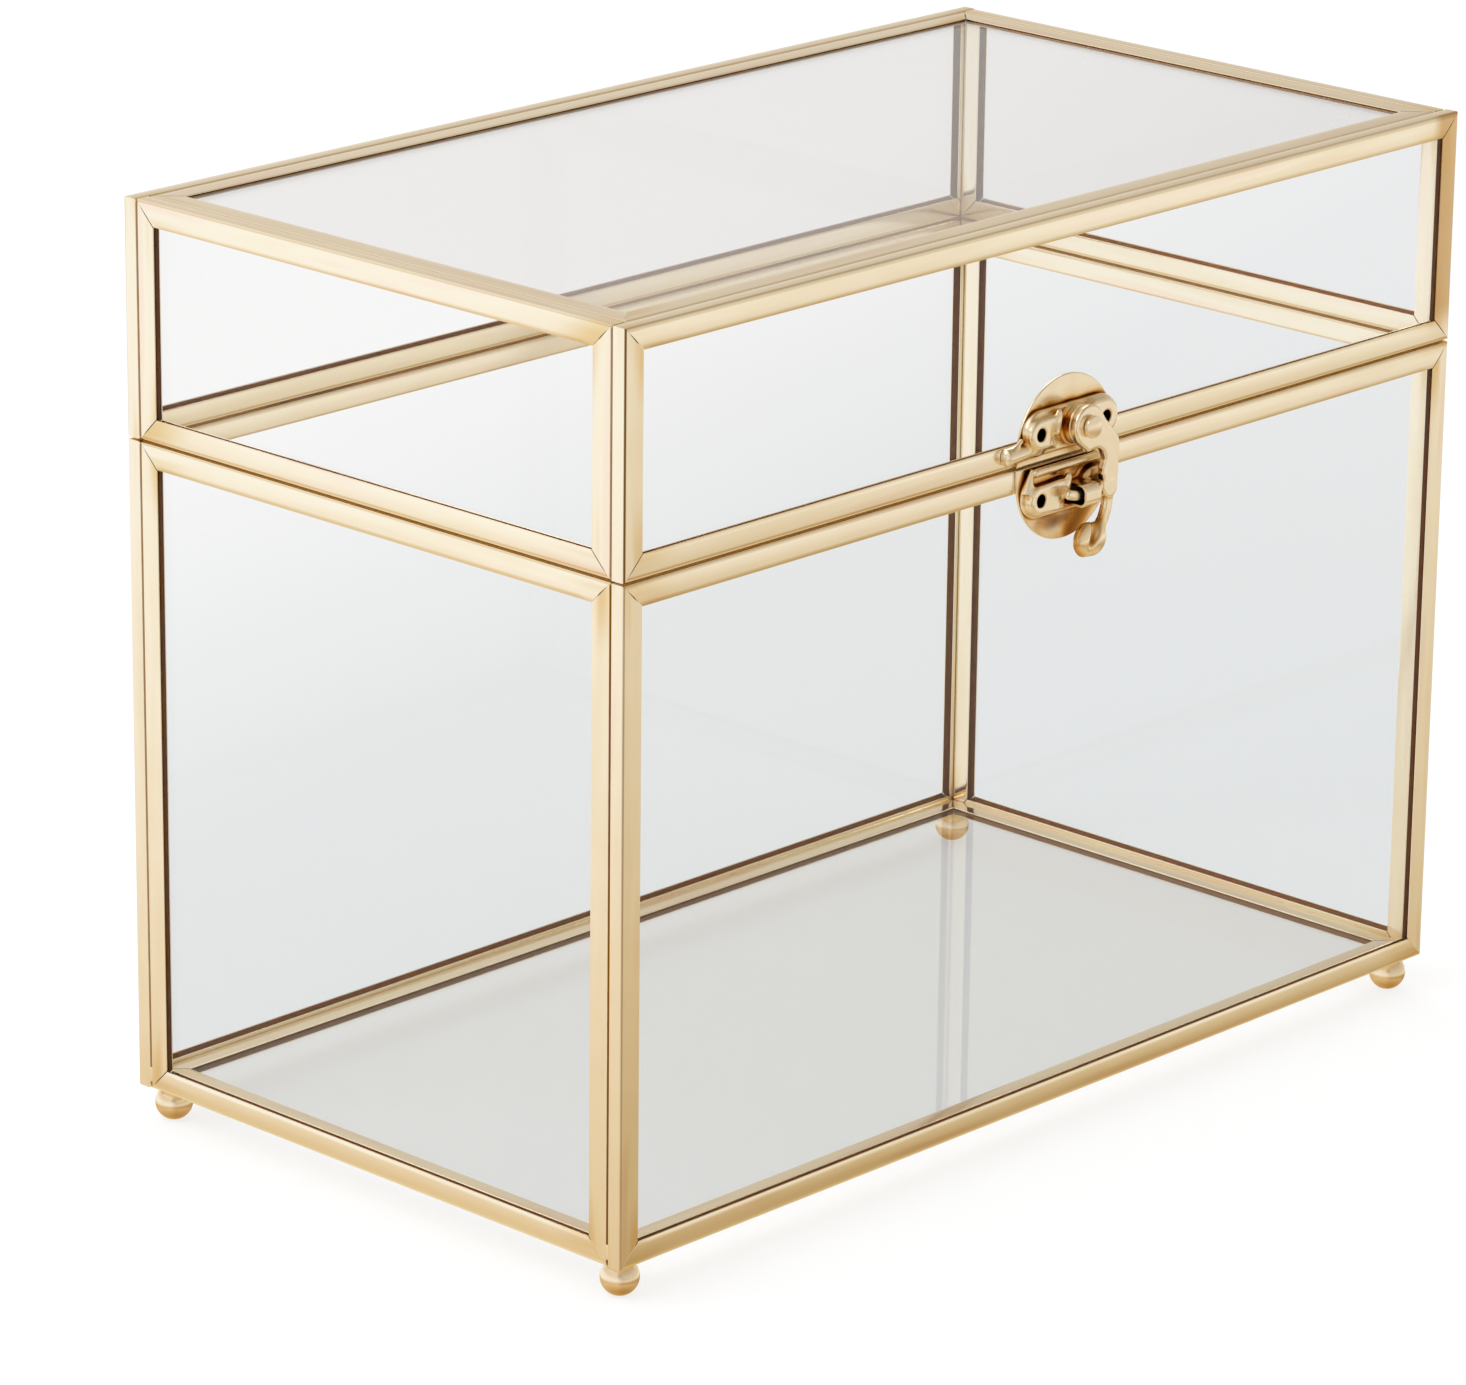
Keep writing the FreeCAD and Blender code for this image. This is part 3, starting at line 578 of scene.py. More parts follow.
# Solder: a bead runs in each groove where two frames meet, and the frames hold together by it.
# It is flush and bright at the foot of each corner and round the top, and sunk and stained amber above.
BEAD_RADIUS = 0.58 * MM
BEAD_DEPTH = 0.63 * MM
BEAD_END = 0.3 * MM
FOOT_FILL_RADIUS = 0.68 * MM
FOOT_FILL_DEPTH = 0.72 * MM
FOOT_FILL_RISE = 5.2 * MM
FLUSH_RADIUS = 0.6 * MM
FLUSH_DEPTH = 0.66 * MM
MITRE_FILL_RADIUS = 0.26 * MM
MITRE_FILL_DEPTH = 0.28 * MM
OPEN_MITRES = [("base_left", "far")]
BEAD_STEP = 0.5 * MM
BEAD_LUMP = 2.2 * MM
BEAD_LUMPS = (0.93, 1.03)
BEAD_END_SHARE = 0.55
BEAD_SEGMENTS = 14
# How well a bead was dressed, from 0 for raw to 1 for flush and bright
RAW = 0.0
SCRAPED = 0.2
FLUSH = 0.85
BRIGHT = 1.0

# Tin solder with brass rubbed over it: bright where it was dressed flush, amber with flux where it is sunk
SOLDER_AMBER = "#84560F"
SOLDER_BRIGHT = "#F8E8C6"
SOLDER_ROUGHNESS = (0.2, 0.45)
solder, add = new_material("brassed solder")
dressed = add("Attribute", attribute_name="dressed").outputs["Fac"]
solder_place = add("TexCoord").outputs["Object"]
lumps = add("TexNoise", {"Vector": solder_place, "Scale": 1 / BEAD_LUMP, "Detail": 2.0})
solder_colour = add("Mix", {0: dressed, 6: linear(SOLDER_AMBER), 7: linear(SOLDER_BRIGHT)}, **COLOURS)
solder_rub = add("MapRange", {"Value": lumps, **span("To", SOLDER_ROUGHNESS)})
solder_skin = add(
    "BsdfPrincipled", {"Base Color": solder_colour.outputs[2], "Metallic": 1.0, "Roughness": solder_rub})
add("OutputMaterial", {"Surface": solder_skin})

bead_tree, add, bead_inputs, size = new_tree("solder beads", ("Step", "Lump"), ("Solder",), "Runs")
bead = add("MeshToCurve", {"Mesh": size["Runs"]})
bead = add("ResampleCurve", {"Curve": bead, "Length": size["Step"]}, mode="LENGTH")
stout = add("InputNamedAttribute", {"Name": "stout"}, data_type="FLOAT")
run_along = add("SplineParameter").outputs["Length"]
run_length = add("SplineLength").outputs["Length"]
run_left = add("Math", {0: run_length, 1: run_along}, operation="SUBTRACT")
to_end = add("Math", {0: run_along, 1: run_left}, operation="MINIMUM")
rounded_off = add(
    "MapRange", {"Value": to_end, "From Max": size["Step"], "To Min": BEAD_END_SHARE}, **SMOOTH)
lump_scale = add("Math", {0: 1.0, 1: size["Lump"]}, operation="DIVIDE")
bead_lumps = add("TexNoise", {"Scale": lump_scale, "Detail": 1.0})
swell = add("MapRange", {"Value": bead_lumps, **span("To", BEAD_LUMPS)})
for factor in (rounded_off, stout):
    swell = add("Math", {0: factor, 1: swell}, operation="MULTIPLY")
ring = add("CurvePrimitiveCircle", {"Resolution": BEAD_SEGMENTS, "Radius": 1.0})
bead = add("CurveToMesh", {"Curve": bead, "Profile Curve": ring, "Scale": swell, "Fill Caps": True})
bead = add("SetShadeSmooth", {"Geometry": bead, "Shade Smooth": True})
bead = add("RealizeInstances", {"Geometry": bead})
bead = add("SetMaterial", {"Geometry": bead, "Material": size["Solder"]})
add("GroupOutput", {"Geometry": bead})

# Where the beads run: start, end, radius, and how well it was dressed
solder_runs = {"base": [], "lid": []}
for body, runs in solder_runs.items():
    front_low, front_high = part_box(f"{body}_front_frame")
    back_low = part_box(f"{body}_back_frame")[0]
    low_z, high_z = front_low.z, front_high.z
    for face_x, inward in ((front_low.x, 1), (front_high.x, -1)):
        for y in (front_high.y, back_low.y):
            x = face_x + inward * BEAD_DEPTH
            dressing = RAW if body == "base" and inward > 0 and y < 0 else SCRAPED
            runs.append(((x, y, low_z + BEAD_END), (x, y, high_z - BEAD_END), BEAD_RADIUS, dressing))
            if body == "base":
                x = face_x + inward * FOOT_FILL_DEPTH
                foot = (x, y, low_z + BEAD_END + FOOT_FILL_RADIUS)
                runs.append((foot, (x, y, low_z + FOOT_FILL_RISE), FOOT_FILL_RADIUS, BRIGHT))
    flat_low, flat_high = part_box("floor_frame" if body == "base" else "top_frame")
    z = flat_low.z + FLUSH_DEPTH if body == "base" else flat_high.z - FLUSH_DEPTH
    ring_corners = [
        (flat_low.x, flat_low.y, z), (flat_high.x, flat_low.y, z),
        (flat_high.x, flat_high.y, z), (flat_low.x, flat_high.y, z)]
    for i, corner in enumerate(ring_corners):
        runs.append((ring_corners[i - 1], corner, FLUSH_RADIUS, FLUSH))
for panel in ("base_front", "base_back", "base_left", "base_right"):
    low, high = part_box(f"{panel}_frame")
    upright = panel.endswith(("front", "back"))
    for end, near, step in (("near", low, 1), ("far", high, -1)):
        if (panel, end) in OPEN_MITRES:
            continue
        points = []
        for reach in (SLIT_START, FLANGE_WIDTH - 2 * MITRE_FILL_RADIUS):
            if upright:
                y = low.y + MITRE_FILL_DEPTH if panel.endswith("front") else high.y - MITRE_FILL_DEPTH
                points.append((near.x + step * reach, y, low.z + reach))
            else:
                x = low.x + MITRE_FILL_DEPTH if panel.endswith("left") else high.x - MITRE_FILL_DEPTH
                points.append((x, near.y + step * reach, low.z + reach))
        solder_runs["base"].append((*points, MITRE_FILL_RADIUS, BRIGHT))
for body, runs in solder_runs.items():
    lines = bpy.data.meshes.new(f"{body} solder runs")
    ends = [point for run in runs for point in run[:2]]
    lines.from_pydata(ends, [(2 * i, 2 * i + 1) for i in range(len(runs))], [])
    for name, column in (("stout", 2), ("dressed", 3)):
        lines.attributes.new(name, "FLOAT", "POINT").data.foreach_set(
            "value", [run[column] for run in runs for end in range(2)])
    bead_values = {"Step": BEAD_STEP, "Lump": BEAD_LUMP, "Solder": solder}
    beads = grown(f"{body}_solder", bead_tree, bead_inputs, bead_values, lines)
    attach(beads, body)

# Feet: four turned brass balls with a flat to stand on, one under each corner.
# A short neck of solder holds each ball to the frames.
FOOT_NECK_START = 0.80
FOOT_NECK_TAPER = 0.25
FOOT_RINGS = 40
FOOT_SEGMENTS = 56
# Just over 1, so that the width at the ball's very top isn't nothing
POLE_ROOM = 1.0001

# Satin turned brass: a little rougher than the strip, so its mirror is soft, with a faint mottle.
# It is painted pale above and gold underneath, as painted shade on the lower half, over the mottle.
BALL_PALE = "#FFF4DE"
BALL_GOLD = "#D2A658"
BALL_SHADE_HEIGHTS = (5.6 * MM, 0.8 * MM)
BALL_SHADE_SHARE = 0.75
BALL_MOTTLE = 2.5 * MM
BALL_ROUGHNESS = (0.17, 0.25)
ball_brass, add = new_material("satin turned brass")
ball_place = add("TexCoord").outputs["Object"]
mottle = add("TexNoise", {"Vector": ball_place, "Scale": 1 / BALL_MOTTLE, "Detail": 2.0})
ball_height = add("SeparateXYZ", {0: ball_place}).outputs[2]
# Painted shade: the colour turns gold towards the bottom of the ball
shaded_below = add("MapRange", {"Value": ball_height, **span("From", BALL_SHADE_HEIGHTS)}, **SMOOTH)
gold_shade_and_mottle = add("Mix", {0: BALL_SHADE_SHARE, 2: mottle, 3: shaded_below}, data_type="FLOAT")
ball_colour = add("Mix", {0: gold_shade_and_mottle, 6: linear(BALL_PALE), 7: linear(BALL_GOLD)}, **COLOURS)
ball_rub = add("MapRange", {"Value": mottle, **span("To", BALL_ROUGHNESS)})
ball_skin = add(
    "BsdfPrincipled", {"Base Color": ball_colour.outputs[2], "Metallic": 1.0, "Roughness": ball_rub})
add("OutputMaterial", {"Surface": ball_skin})

FOOT_SIZES = ("Radius", "Half height", "Span", "Depth", "Neck start", "Neck taper")
foot_tree, add, foot_inputs, size = new_tree("ball feet", FOOT_SIZES, ("Brass",))
ball = add("MeshUVSphere", {"Segments": FOOT_SEGMENTS, "Rings": FOOT_RINGS, "Radius": size["Radius"]})
ball_point = add("InputPosition")
ball_axes = add("SeparateXYZ", {0: ball_point}).outputs
latitude = add("Math", {0: ball_axes[2], 1: size["Radius"]}, operation="DIVIDE")
neck = add("MapRange", {"Value": latitude, **span("From", (size["Neck start"], 1.0))})
# Above the neck's start the ball would close in; the solder stays wide and only tapers a little
widths = []
for level in (latitude, size["Neck start"]):
    width = add("Math", {0: level, 1: level}, operation="MULTIPLY")
    width = add("Math", {0: POLE_ROOM, 1: width}, operation="SUBTRACT")
    widths.append(add("Math", {0: width}, operation="SQRT"))
tapered = add("Math", {0: neck, 1: size["Neck taper"]}, operation="MULTIPLY")
tapered = add("Math", {0: 1.0, 1: tapered}, operation="SUBTRACT")
wide = add("Math", {0: widths[1], 1: tapered}, operation="MULTIPLY")
widen = add("Math", {0: wide, 1: widths[0]}, operation="DIVIDE")
on_neck = add("Math", {0: neck, 1: 0.0}, operation="GREATER_THAN")
widen = add("Switch", {"Switch": on_neck, "False": 1.0, "True": widen}, input_type="FLOAT")
flat_x = add("Math", {0: ball_axes[0], 1: widen}, operation="MULTIPLY")
flat_y = add("Math", {0: ball_axes[1], 1: widen}, operation="MULTIPLY")
under = add("Math", {0: size["Half height"], 1: -1.0}, operation="MULTIPLY")
kept = add("Clamp", {"Value": ball_axes[2], "Min": under, "Max": size["Half height"]})
ball_shape = add("CombineXYZ", {0: flat_x, 1: flat_y, 2: kept})
ball = add("SetPosition", {"Geometry": ball, "Position": ball_shape})
ball = add("SetShadeSmooth", {"Geometry": ball, "Shade Smooth": True})
places = add(
    "MeshGrid", {"Size X": size["Span"], "Size Y": size["Depth"], "Vertices X": 2, "Vertices Y": 2})
balls = add("InstanceOnPoints", {"Points": places, "Instance": ball})
balls = add("RealizeInstances", {"Geometry": balls})
balls = add("SetMaterial", {"Geometry": balls, "Material": size["Brass"]})
add("GroupOutput", {"Geometry": balls})

foot_names = [f"{end}_{side}_foot" for end in ("front", "back") for side in ("left", "right")]
foot_low, foot_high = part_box("front_left_foot")
far_low, far_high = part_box("back_right_foot")
feet_middle = (foot_low + far_high) / 2
feet = grown("ball_feet", foot_tree, foot_inputs, {
    "Radius": (foot_high.x - foot_low.x) / 2, "Half height": (foot_high.z - foot_low.z) / 2,
    "Span": far_low.x - foot_low.x, "Depth": far_low.y - foot_low.y, "Neck start": FOOT_NECK_START,
    "Neck taper": FOOT_NECK_TAPER, "Brass": ball_brass})
feet.data.transform(Matrix.Translation(feet_middle))
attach(feet, "base")
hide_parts(*foot_names)

# Hinges: two small butt hinges on the back, each with a leaf on the lid, a leaf on the base and a pin.
# The leaves are stamped brass with rolled knuckles, riveted to the flanges.
# The forms below are in mm: across, up and out from a face of the box, from the seam's middle
HINGE_CELL = 0.16
KNUCKLE_RADIUS = 1.75
KNUCKLE_BORE = 0.95
KNUCKLE_HALF = 4.0
KNUCKLE_PITCH = 8.3
KNUCKLE_ROOM = 0.3
KNUCKLE_FILLET = 0.3
KNUCKLE_ZONE = 2.2
KNUCKLE_REACH = 4.0
LEAF_HALF = 12.3
LEAF_NEAR = 0.25
LEAF_FAR = 4.85
LEAF_THICKNESS = 0.6
LEAF_BOX = ((-13, -5.4, -0.3), (13, 5.4, 4.2))
WEB_RISE = 1.0
WEB_HALF = 0.75
WEB_FILLET = 0.2
AXIS_OUT = 2.0
RIVET_OUT = 8.6
RIVET_DROP = 3.5
RIVET_DOME = 1.1
RIVET_SUNK = 0.1
RIVET_FLATTENED = 1.2
PIN_RADIUS = 0.9
PIN_PAST_LEAF = 0.1
PIN_HEAD_RADIUS = 1.3
PIN_HEAD = (0.02, 0.48)
PIN_BOX = ((-13.3, -1.8, 0.2), (13.3, 1.8, 3.8))

# Polished fitting brass: stamped, tumbled and lacquered, bright where it stands proud.
# Recesses are painted amber and darker, partly pooled lacquer and partly painted shade, and the holes are
# painted near black as shade, so nothing shines back out of them.
FITTING_COLOURS_AND_SHADE = {0.0: "#FDF2DC", 0.2: "#F6DEB2", 0.4: "#D29A4A", 0.65: "#8A5618", 1.0: "#1E0F04"}
TUMBLE_MARK = 3.0 * MM
TUMBLE_DEPTH = 0.006 * MM
TUMBLED_MARKS = (0.3, 0.7)
FITTING_ROUGHNESS = (0.19, 0.26)
fitting, add = new_material("polished fitting brass")
recess_shade = add("Attribute", attribute_name="recess_shade").outputs["Fac"]
fitting_place = add("TexCoord").outputs["Object"]
marks = add("TexNoise", {"Vector": fitting_place, "Scale": 1 / TUMBLE_MARK, "Detail": 2.0})
lacquer_and_shade = add("ValToRGB", {0: recess_shade})
set_stops(lacquer_and_shade.color_ramp, FITTING_COLOURS_AND_SHADE)
fitting_rub = add(
    "MapRange", {"Value": marks, **span("From", TUMBLED_MARKS), **span("To", FITTING_ROUGHNESS)})
uneven = add("Bump", {"Strength": 1.0, "Distance": TUMBLE_DEPTH, "Height": marks})
fitting_skin = add(
    "BsdfPrincipled", {"Base Color": lacquer_and_shade, "Metallic": 1.0, "Roughness": fitting_rub, "Normal": uneven})
add("OutputMaterial", {"Surface": fitting_skin})

# Forms: each gives the distance from its skin at places across, up and out.
# These values are for the mesh that is drawn over the skin, and for how sheltered its points are, which is
# painted into the fitting brass as shade.
SLOPE_STEP = 0.02
LEAST_SLOPE = 0.2
SETTLING_STEPS = 4
SHELTER_REACHES = (0.5, 1.2, 2.2, 3.6)
SHELTER_MOST = 0.85


def rod(x, h, start, end):
    # Distance from the line between two places on the face
    run_x, run_h = end[0] - start[0], end[1] - start[1]
    share = np.clip(((x - start[0]) * run_x + (h - start[1]) * run_h) / (run_x ** 2 + run_h ** 2), 0, 1)
    return np.hypot(x - start[0] - share * run_x, h - start[1] - share * run_h)


def wire(x, h, d, start, end, level, radius):
    # A round wire between two places, at a level out from the face
    return np.hypot(rod(x, h, start, end), d - level) - radius


def slab(flat, d, low, high, edge):
    # A flat outline made thick between two levels, with rounded edges
    outline = flat + edge
    level = np.abs(d - (low + high) / 2) - (high - low) / 2 + edge
    outside = np.hypot(np.maximum(outline, 0), np.maximum(level, 0))
    return np.minimum(np.maximum(outline, level), 0) + outside - edge


def joined(first, second, fillet):
    # Two forms run into each other, with a fillet
    share = np.clip(0.5 + 0.5 * (second - first) / fillet, 0, 1)
    return second * (1 - share) + first * share - fillet * share * (1 - share)


def cut_out(form, hollow, fillet):
    return -joined(-form, hollow, fillet)


def eased(value, start, end):
    # Rises smoothly from 0 at the start to 1 at the end
    share = np.clip((value - start) / (end - start), 0, 1)
    return share * share * (3 - 2 * share)


def slope_of(form, points):
    # Which way a form's distance grows, and how fast
    steps = SLOPE_STEP * np.eye(3)
    return np.stack([
        (form(*(points + step).T) - form(*(points - step).T)) / (2 * SLOPE_STEP) for step in steps], axis=1)


def sculpted(name, form, low, high, cell, place, dark=None, neighbours=None):
    # A closed mesh over the skin of a form: one point in each cell that the skin crosses, drawn onto it
    counts = [int(math.ceil((b - a) / cell)) + 1 for a, b in zip(low, high)]
    grid = np.stack(np.meshgrid(
        *[a + cell * np.arange(n) for a, n in zip(low, counts)], indexing="ij"), axis=-1)
    values = form(*np.moveaxis(grid, -1, 0))
    total = np.zeros([n - 1 for n in counts] + [3])
    crossings = np.zeros([n - 1 for n in counts])
    edges = []
    for axis in range(3):
        first = np.take(values, range(counts[axis] - 1), axis)
        second = np.take(values, range(1, counts[axis]), axis)
        crosses = (first < 0) != (second < 0)
        share = np.where(crosses, first / np.where(crosses, first - second, 1), 0)
        middle = np.take(grid, range(counts[axis] - 1), axis) + share[..., None] * cell * np.eye(3)[axis]
        for b_shift in (0, 1):
            for c_shift in (0, 1):
                shifts = [0, 0, 0]
                shifts[(axis + 1) % 3] = b_shift
                shifts[(axis + 2) % 3] = c_shift
                window = tuple(slice(shift, shift + n - 1) for shift, n in zip(shifts, counts))
                crossings += crosses[window]
                total += np.where(crosses[window][..., None], middle[window], 0)
        edges.append((crosses, first < 0))
    used = crossings > 0
    number = np.full(used.shape, -1)
    number[used] = np.arange(used.sum())
    points = total[used] / crossings[used][:, None]
    faces = []
    for axis, (crosses, leaves) in enumerate(edges):
        b, c = np.eye(3, dtype=int)[(axis + 1) % 3], np.eye(3, dtype=int)[(axis + 2) % 3]
        at = np.argwhere(crosses)
        ring = [tuple((at - shift).T) for shift in (b + c, c, 0 * b, b)]
        quads = np.stack([number[cells] for cells in ring], axis=1)
        turned = ~leaves[tuple(at.T)]
        quads[turned] = quads[turned][:, ::-1]
        faces.append(quads)
    for repeat in range(SETTLING_STEPS):
        slope = slope_of(form, points)
        steep = np.maximum((slope ** 2).sum(1), LEAST_SLOPE)
        move = -(form(*points.T) / steep)[:, None] * slope
        points += np.clip(move, -cell / 2, cell / 2)
    # How sheltered each point is by what stands round it, from open to deep in a hollow, kept as painted
    # shade for the colour
    slope = slope_of(form, points)
    normals = slope / np.linalg.norm(slope, axis=1)[:, None].clip(1e-6)
    shelter = np.zeros(len(points))
    for reach in SHELTER_REACHES:
        out = (points + reach * normals).T
        room = form(*out)
        if neighbours:
            room = np.minimum(room, neighbours(*out))
        shelter += np.clip(1 - room / reach, 0, 1) / len(SHELTER_REACHES)
    shelter *= SHELTER_MOST
    # The points in the holes and the tunnel get the full painted shade
    if dark:
        shelter[dark(*points.T)] = 1.0
    mesh = bpy.data.meshes.new(name)
    mesh.from_pydata((points * MM).tolist(), [], np.concatenate(faces).tolist())
    mesh.polygons.foreach_set("use_smooth", [True] * len(mesh.polygons))
    mesh.attributes.new("recess_shade", "FLOAT", "POINT").data.foreach_set("value", shelter)
    mesh.transform(place)
    mesh.materials.append(fitting)
    piece = bpy.data.objects.new(name, mesh)
    scene.collection.objects.link(piece)
    return piece


front_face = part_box("base_front_frame")[0].y
back_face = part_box("base_back_frame")[1].y
face_turns = {
    "front": Matrix(((1, 0, 0, 0), (0, 0, -1, front_face), (0, 1, 0, seam_z), (0, 0, 0, 1))),
    "back": Matrix(((-1, 0, 0, 0), (0, 0, 1, back_face), (0, 1, 0, seam_z), (0, 0, 0, 1))),
}


def hinge_leaf(up, knuckles, others):
    # The form of a leaf: up is 1 on the lid and -1 on the base
    def form(x, h, d):
        rise = up * h
        up_and_down = np.abs(rise - (LEAF_NEAR + LEAF_FAR) / 2) - (LEAF_FAR - LEAF_NEAR) / 2
        leaf = slab(np.maximum(np.abs(x) - LEAF_HALF, up_and_down), d, 0, LEAF_THICKNESS, edge=0.18)
        round_axis = np.hypot(h, d - AXIS_OUT)
        for other in others:
            past_end = np.abs(x - other) - KNUCKLE_HALF
            leaf = np.maximum(leaf, KNUCKLE_ROOM - np.maximum(round_axis - KNUCKLE_RADIUS, past_end))
        for side in (-1, 1):
            out = (d + RIVET_SUNK) ** 2 * RIVET_FLATTENED
            dome = np.sqrt((x - side * RIVET_OUT) ** 2 + (rise - RIVET_DROP) ** 2 + out) - RIVET_DOME
            leaf = joined(leaf, np.maximum(dome, -d), fillet=0.12)
        for own in knuckles:
            thick = np.abs(d - LEAF_THICKNESS) - LEAF_THICKNESS
            web = np.maximum(np.abs(rise - WEB_RISE) - WEB_HALF, thick)
            for flat, fillet in ((web, WEB_FILLET), (round_axis - KNUCKLE_RADIUS, KNUCKLE_FILLET)):
                roll = slab(flat, x - own, -KNUCKLE_HALF, KNUCKLE_HALF, edge=0.15)
                leaf = joined(leaf, roll, fillet)
        bore = np.maximum(round_axis - KNUCKLE_BORE, -d)
        # Only the knuckles cross the seam
        past_seam = LEAF_NEAR - rise - KNUCKLE_REACH * (round_axis < KNUCKLE_ZONE)
        return np.maximum(np.maximum(leaf, -bore), past_seam)
    return form


def hinge_pin(x, h, d):
    round_axis = np.hypot(h, d - AXIS_OUT)
    end = LEAF_HALF + PIN_PAST_LEAF
    shank = slab(round_axis - PIN_RADIUS, x, -end, end, edge=0.05)
    head_low, head_high = LEAF_HALF + PIN_HEAD[0], LEAF_HALF + PIN_HEAD[1]
    for side in (-1, 1):
        head = slab(round_axis - PIN_HEAD_RADIUS, side * x, head_low, head_high, edge=0.22)
        shank = np.minimum(shank, head)
    return shank


outer_knuckles = (-KNUCKLE_PITCH, KNUCKLE_PITCH)
middle_knuckle = (0.0,)
leaf_forms = {
    "base": hinge_leaf(-1, outer_knuckles, middle_knuckle),
    "lid": hinge_leaf(1, middle_knuckle, outer_knuckles)}
for side in ("left", "right"):
    pin_low, pin_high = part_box(f"{side}_hinge_pin")
    here = Matrix.Translation(((pin_low.x + pin_high.x) / 2, 0, 0)) @ face_turns["back"]
    for body, form in leaf_forms.items():
        leaf = sculpted(f"{side}_{body}_hinge_leaf", form, *LEAF_BOX, HINGE_CELL, here)
        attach(leaf, body)
        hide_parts(f"{side}_hinge_{body}_leaf")
    pin = sculpted(f"{side}_hinge_axle", hinge_pin, *PIN_BOX, HINGE_CELL, here)
    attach(pin, "base")
    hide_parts(f"{side}_hinge_pin")

# Latch plates: two stamped brass plates, one on the lid and one on the base, each on a thin half disc.
# Each has a raised panel at both ends with a hole through it. The lid's has the boss for the hook
# and a lift tab; the base's has a lip, a horn, and the bridge that the hook goes under.
LATCH_CELL = 0.16
LATCH_MIDDLE = 0.2
BACKING_RADIUS = 14.8
BACKING_RISE = 2.5
BACKING_NEAR = 0.25
BACKING_THICKNESS = 0.6
BACKING_BOX = ((-15.2, 0.0, -0.3), (15.6, 18.0, 0.95))
PLATE_HALF = 8.9
LID_PLATE = {"middle": 6.8, "radius": 4.7, "level": 1.9, "edge": 0.6}
BASE_PLATE = {"middle": -6.4, "radius": 4.9, "level": 1.3, "edge": 0.5}
LID_PLATE_BOX = ((-20.2, 0.7, -0.2), (14.8, 12.6, 4.9))
BASE_PLATE_BOX = ((-14.5, -12.4, 0.3), (14.8, 0.2, 7.8))
# Raised panels: the left one with its inner end curled up to an ear, and the round right one
PANEL_LEVEL = 3.4
LEFT_RADIUS = 3.15
LEFT_LEVELS = (0.5, 3.2)
LID_INNER_END = (-4.9, 3.6)
BASE_INNER_END = (-1.5, 3.5)
CURL_RUN = (3.2, 0.4)
CURL_SPREAD = 2.5
CURL_RISE = 1.5
CURL_DIP = 0.7
EAR_IN = (0.9, 0.4)
EAR_PAST = 0.3
EAR_LEVEL = 3.3
EAR_RADIUS = 0.65
RIGHT_RADIUS = 4.2
RIGHT_IN = (2.8, 0.2)
RIGHT_FOOT = 0.8
LID_HOLES = ((-10.1, 6.9), (9.6, 7.0))
BASE_HOLES = ((-9.7, -7.0), (9.5, -7.1))
HOLE_RADIUS = 1.35
HOLE_LEVELS = (0.9, 6.0)
HOLE_SHADE_BELOW = 2.9
# What counts as the wall of a hole or of the tunnel
WALL = 0.06
PIVOT = (1.2, 7.2)
BOSS_RADIUS = 4.1
BOSS_LEVELS = (0.8, 4.3)
# Wires: two ends, the level and the radius
LIFT_TAB = ((-18.0, 3.3), (-9.5, 3.9), 0.7, 1.85)
SPUR = ((-16.6, 4.6), (-14.4, 6.2), 1.4, 0.45)
LIP = ((-10.4, -1.2), (8.4, -1.2), 2.0, 0.85)
LIFT_ENDS = (-19.3, 0.0)
LIFT_BEYOND = -15.2
LIFT_BACK = 0.05
HORN_FOOT = (-12.0, -4.6, 1.1)
HORN_HEIGHT = 4.1
HORN_LEAN = (0.7, 0.5)
HORN_RADII = (1.25, 0.25)
HORN_ENDS = (-5.2, -0.4)
BRIDGE_SIDES = (-0.6, 5.5)
BRIDGE_CENTRE = (2.45, -7.35)
BRIDGE_HALF = 2.4
BRIDGE_LEVEL = 7.2
BRIDGE_SHEET = 0.55
BRIDGE_BACK = -4
BRIDGE_LEFT = -9.0
TUNNEL_FLOOR = 1.2
TUNNEL_HALF = 3.6
TUNNEL_SHADE_HALF = 2.9
TUNNEL_SHADE_FROM = 1.1
# Roughly where the hook's tail passes over the base's disc, as a wire
TAIL_OVER = ((8.3, -9.0), (2.5, -16.0), 4.0, 2.2)


def backing_disc(up):
    def form(x, h, d):
        rise = up * h
        out = np.hypot(x - LATCH_MIDDLE, np.maximum(rise - BACKING_RISE, 0))
        flat = np.maximum(out - BACKING_RADIUS, BACKING_NEAR - rise)
        return slab(flat, d, 0, BACKING_THICKNESS, edge=0.2)
    return form


def end_panels(form, x, h, d, holes, inner_end, half):
    (left, middle), (right, right_middle) = holes
    head = np.hypot(x - left, h - middle) - LEFT_RADIUS
    body = np.abs(h - middle) - LEFT_RADIUS - (half - LEFT_RADIUS) * eased(x, left, inner_end)
    body = np.maximum(body, np.maximum(x - inner_end, left - x))
    near_ear = eased(h - middle, -CURL_SPREAD, CURL_SPREAD)
    curl = eased(x, inner_end - CURL_RUN[0], inner_end - CURL_RUN[1])
    rise = (CURL_RISE * near_ear - CURL_DIP) * curl
    panel = slab(np.minimum(head, body), d - rise, *LEFT_LEVELS, edge=0.8)
    ear_foot, ear_tip = (inner_end - EAR_IN[0], middle), (inner_end - EAR_IN[1], middle + half + EAR_PAST)
    ear = wire(x, h, d, ear_foot, ear_tip, EAR_LEVEL, EAR_RADIUS)
    form = joined(form, joined(panel, ear, fillet=0.8), fillet=0.9)
    ends = [(right - reach, right_middle) for reach in RIGHT_IN]
    panel = slab(rod(x, h, *ends) - RIGHT_RADIUS, d, RIGHT_FOOT, PANEL_LEVEL, edge=1.2)
    return joined(form, panel, fillet=1.0)


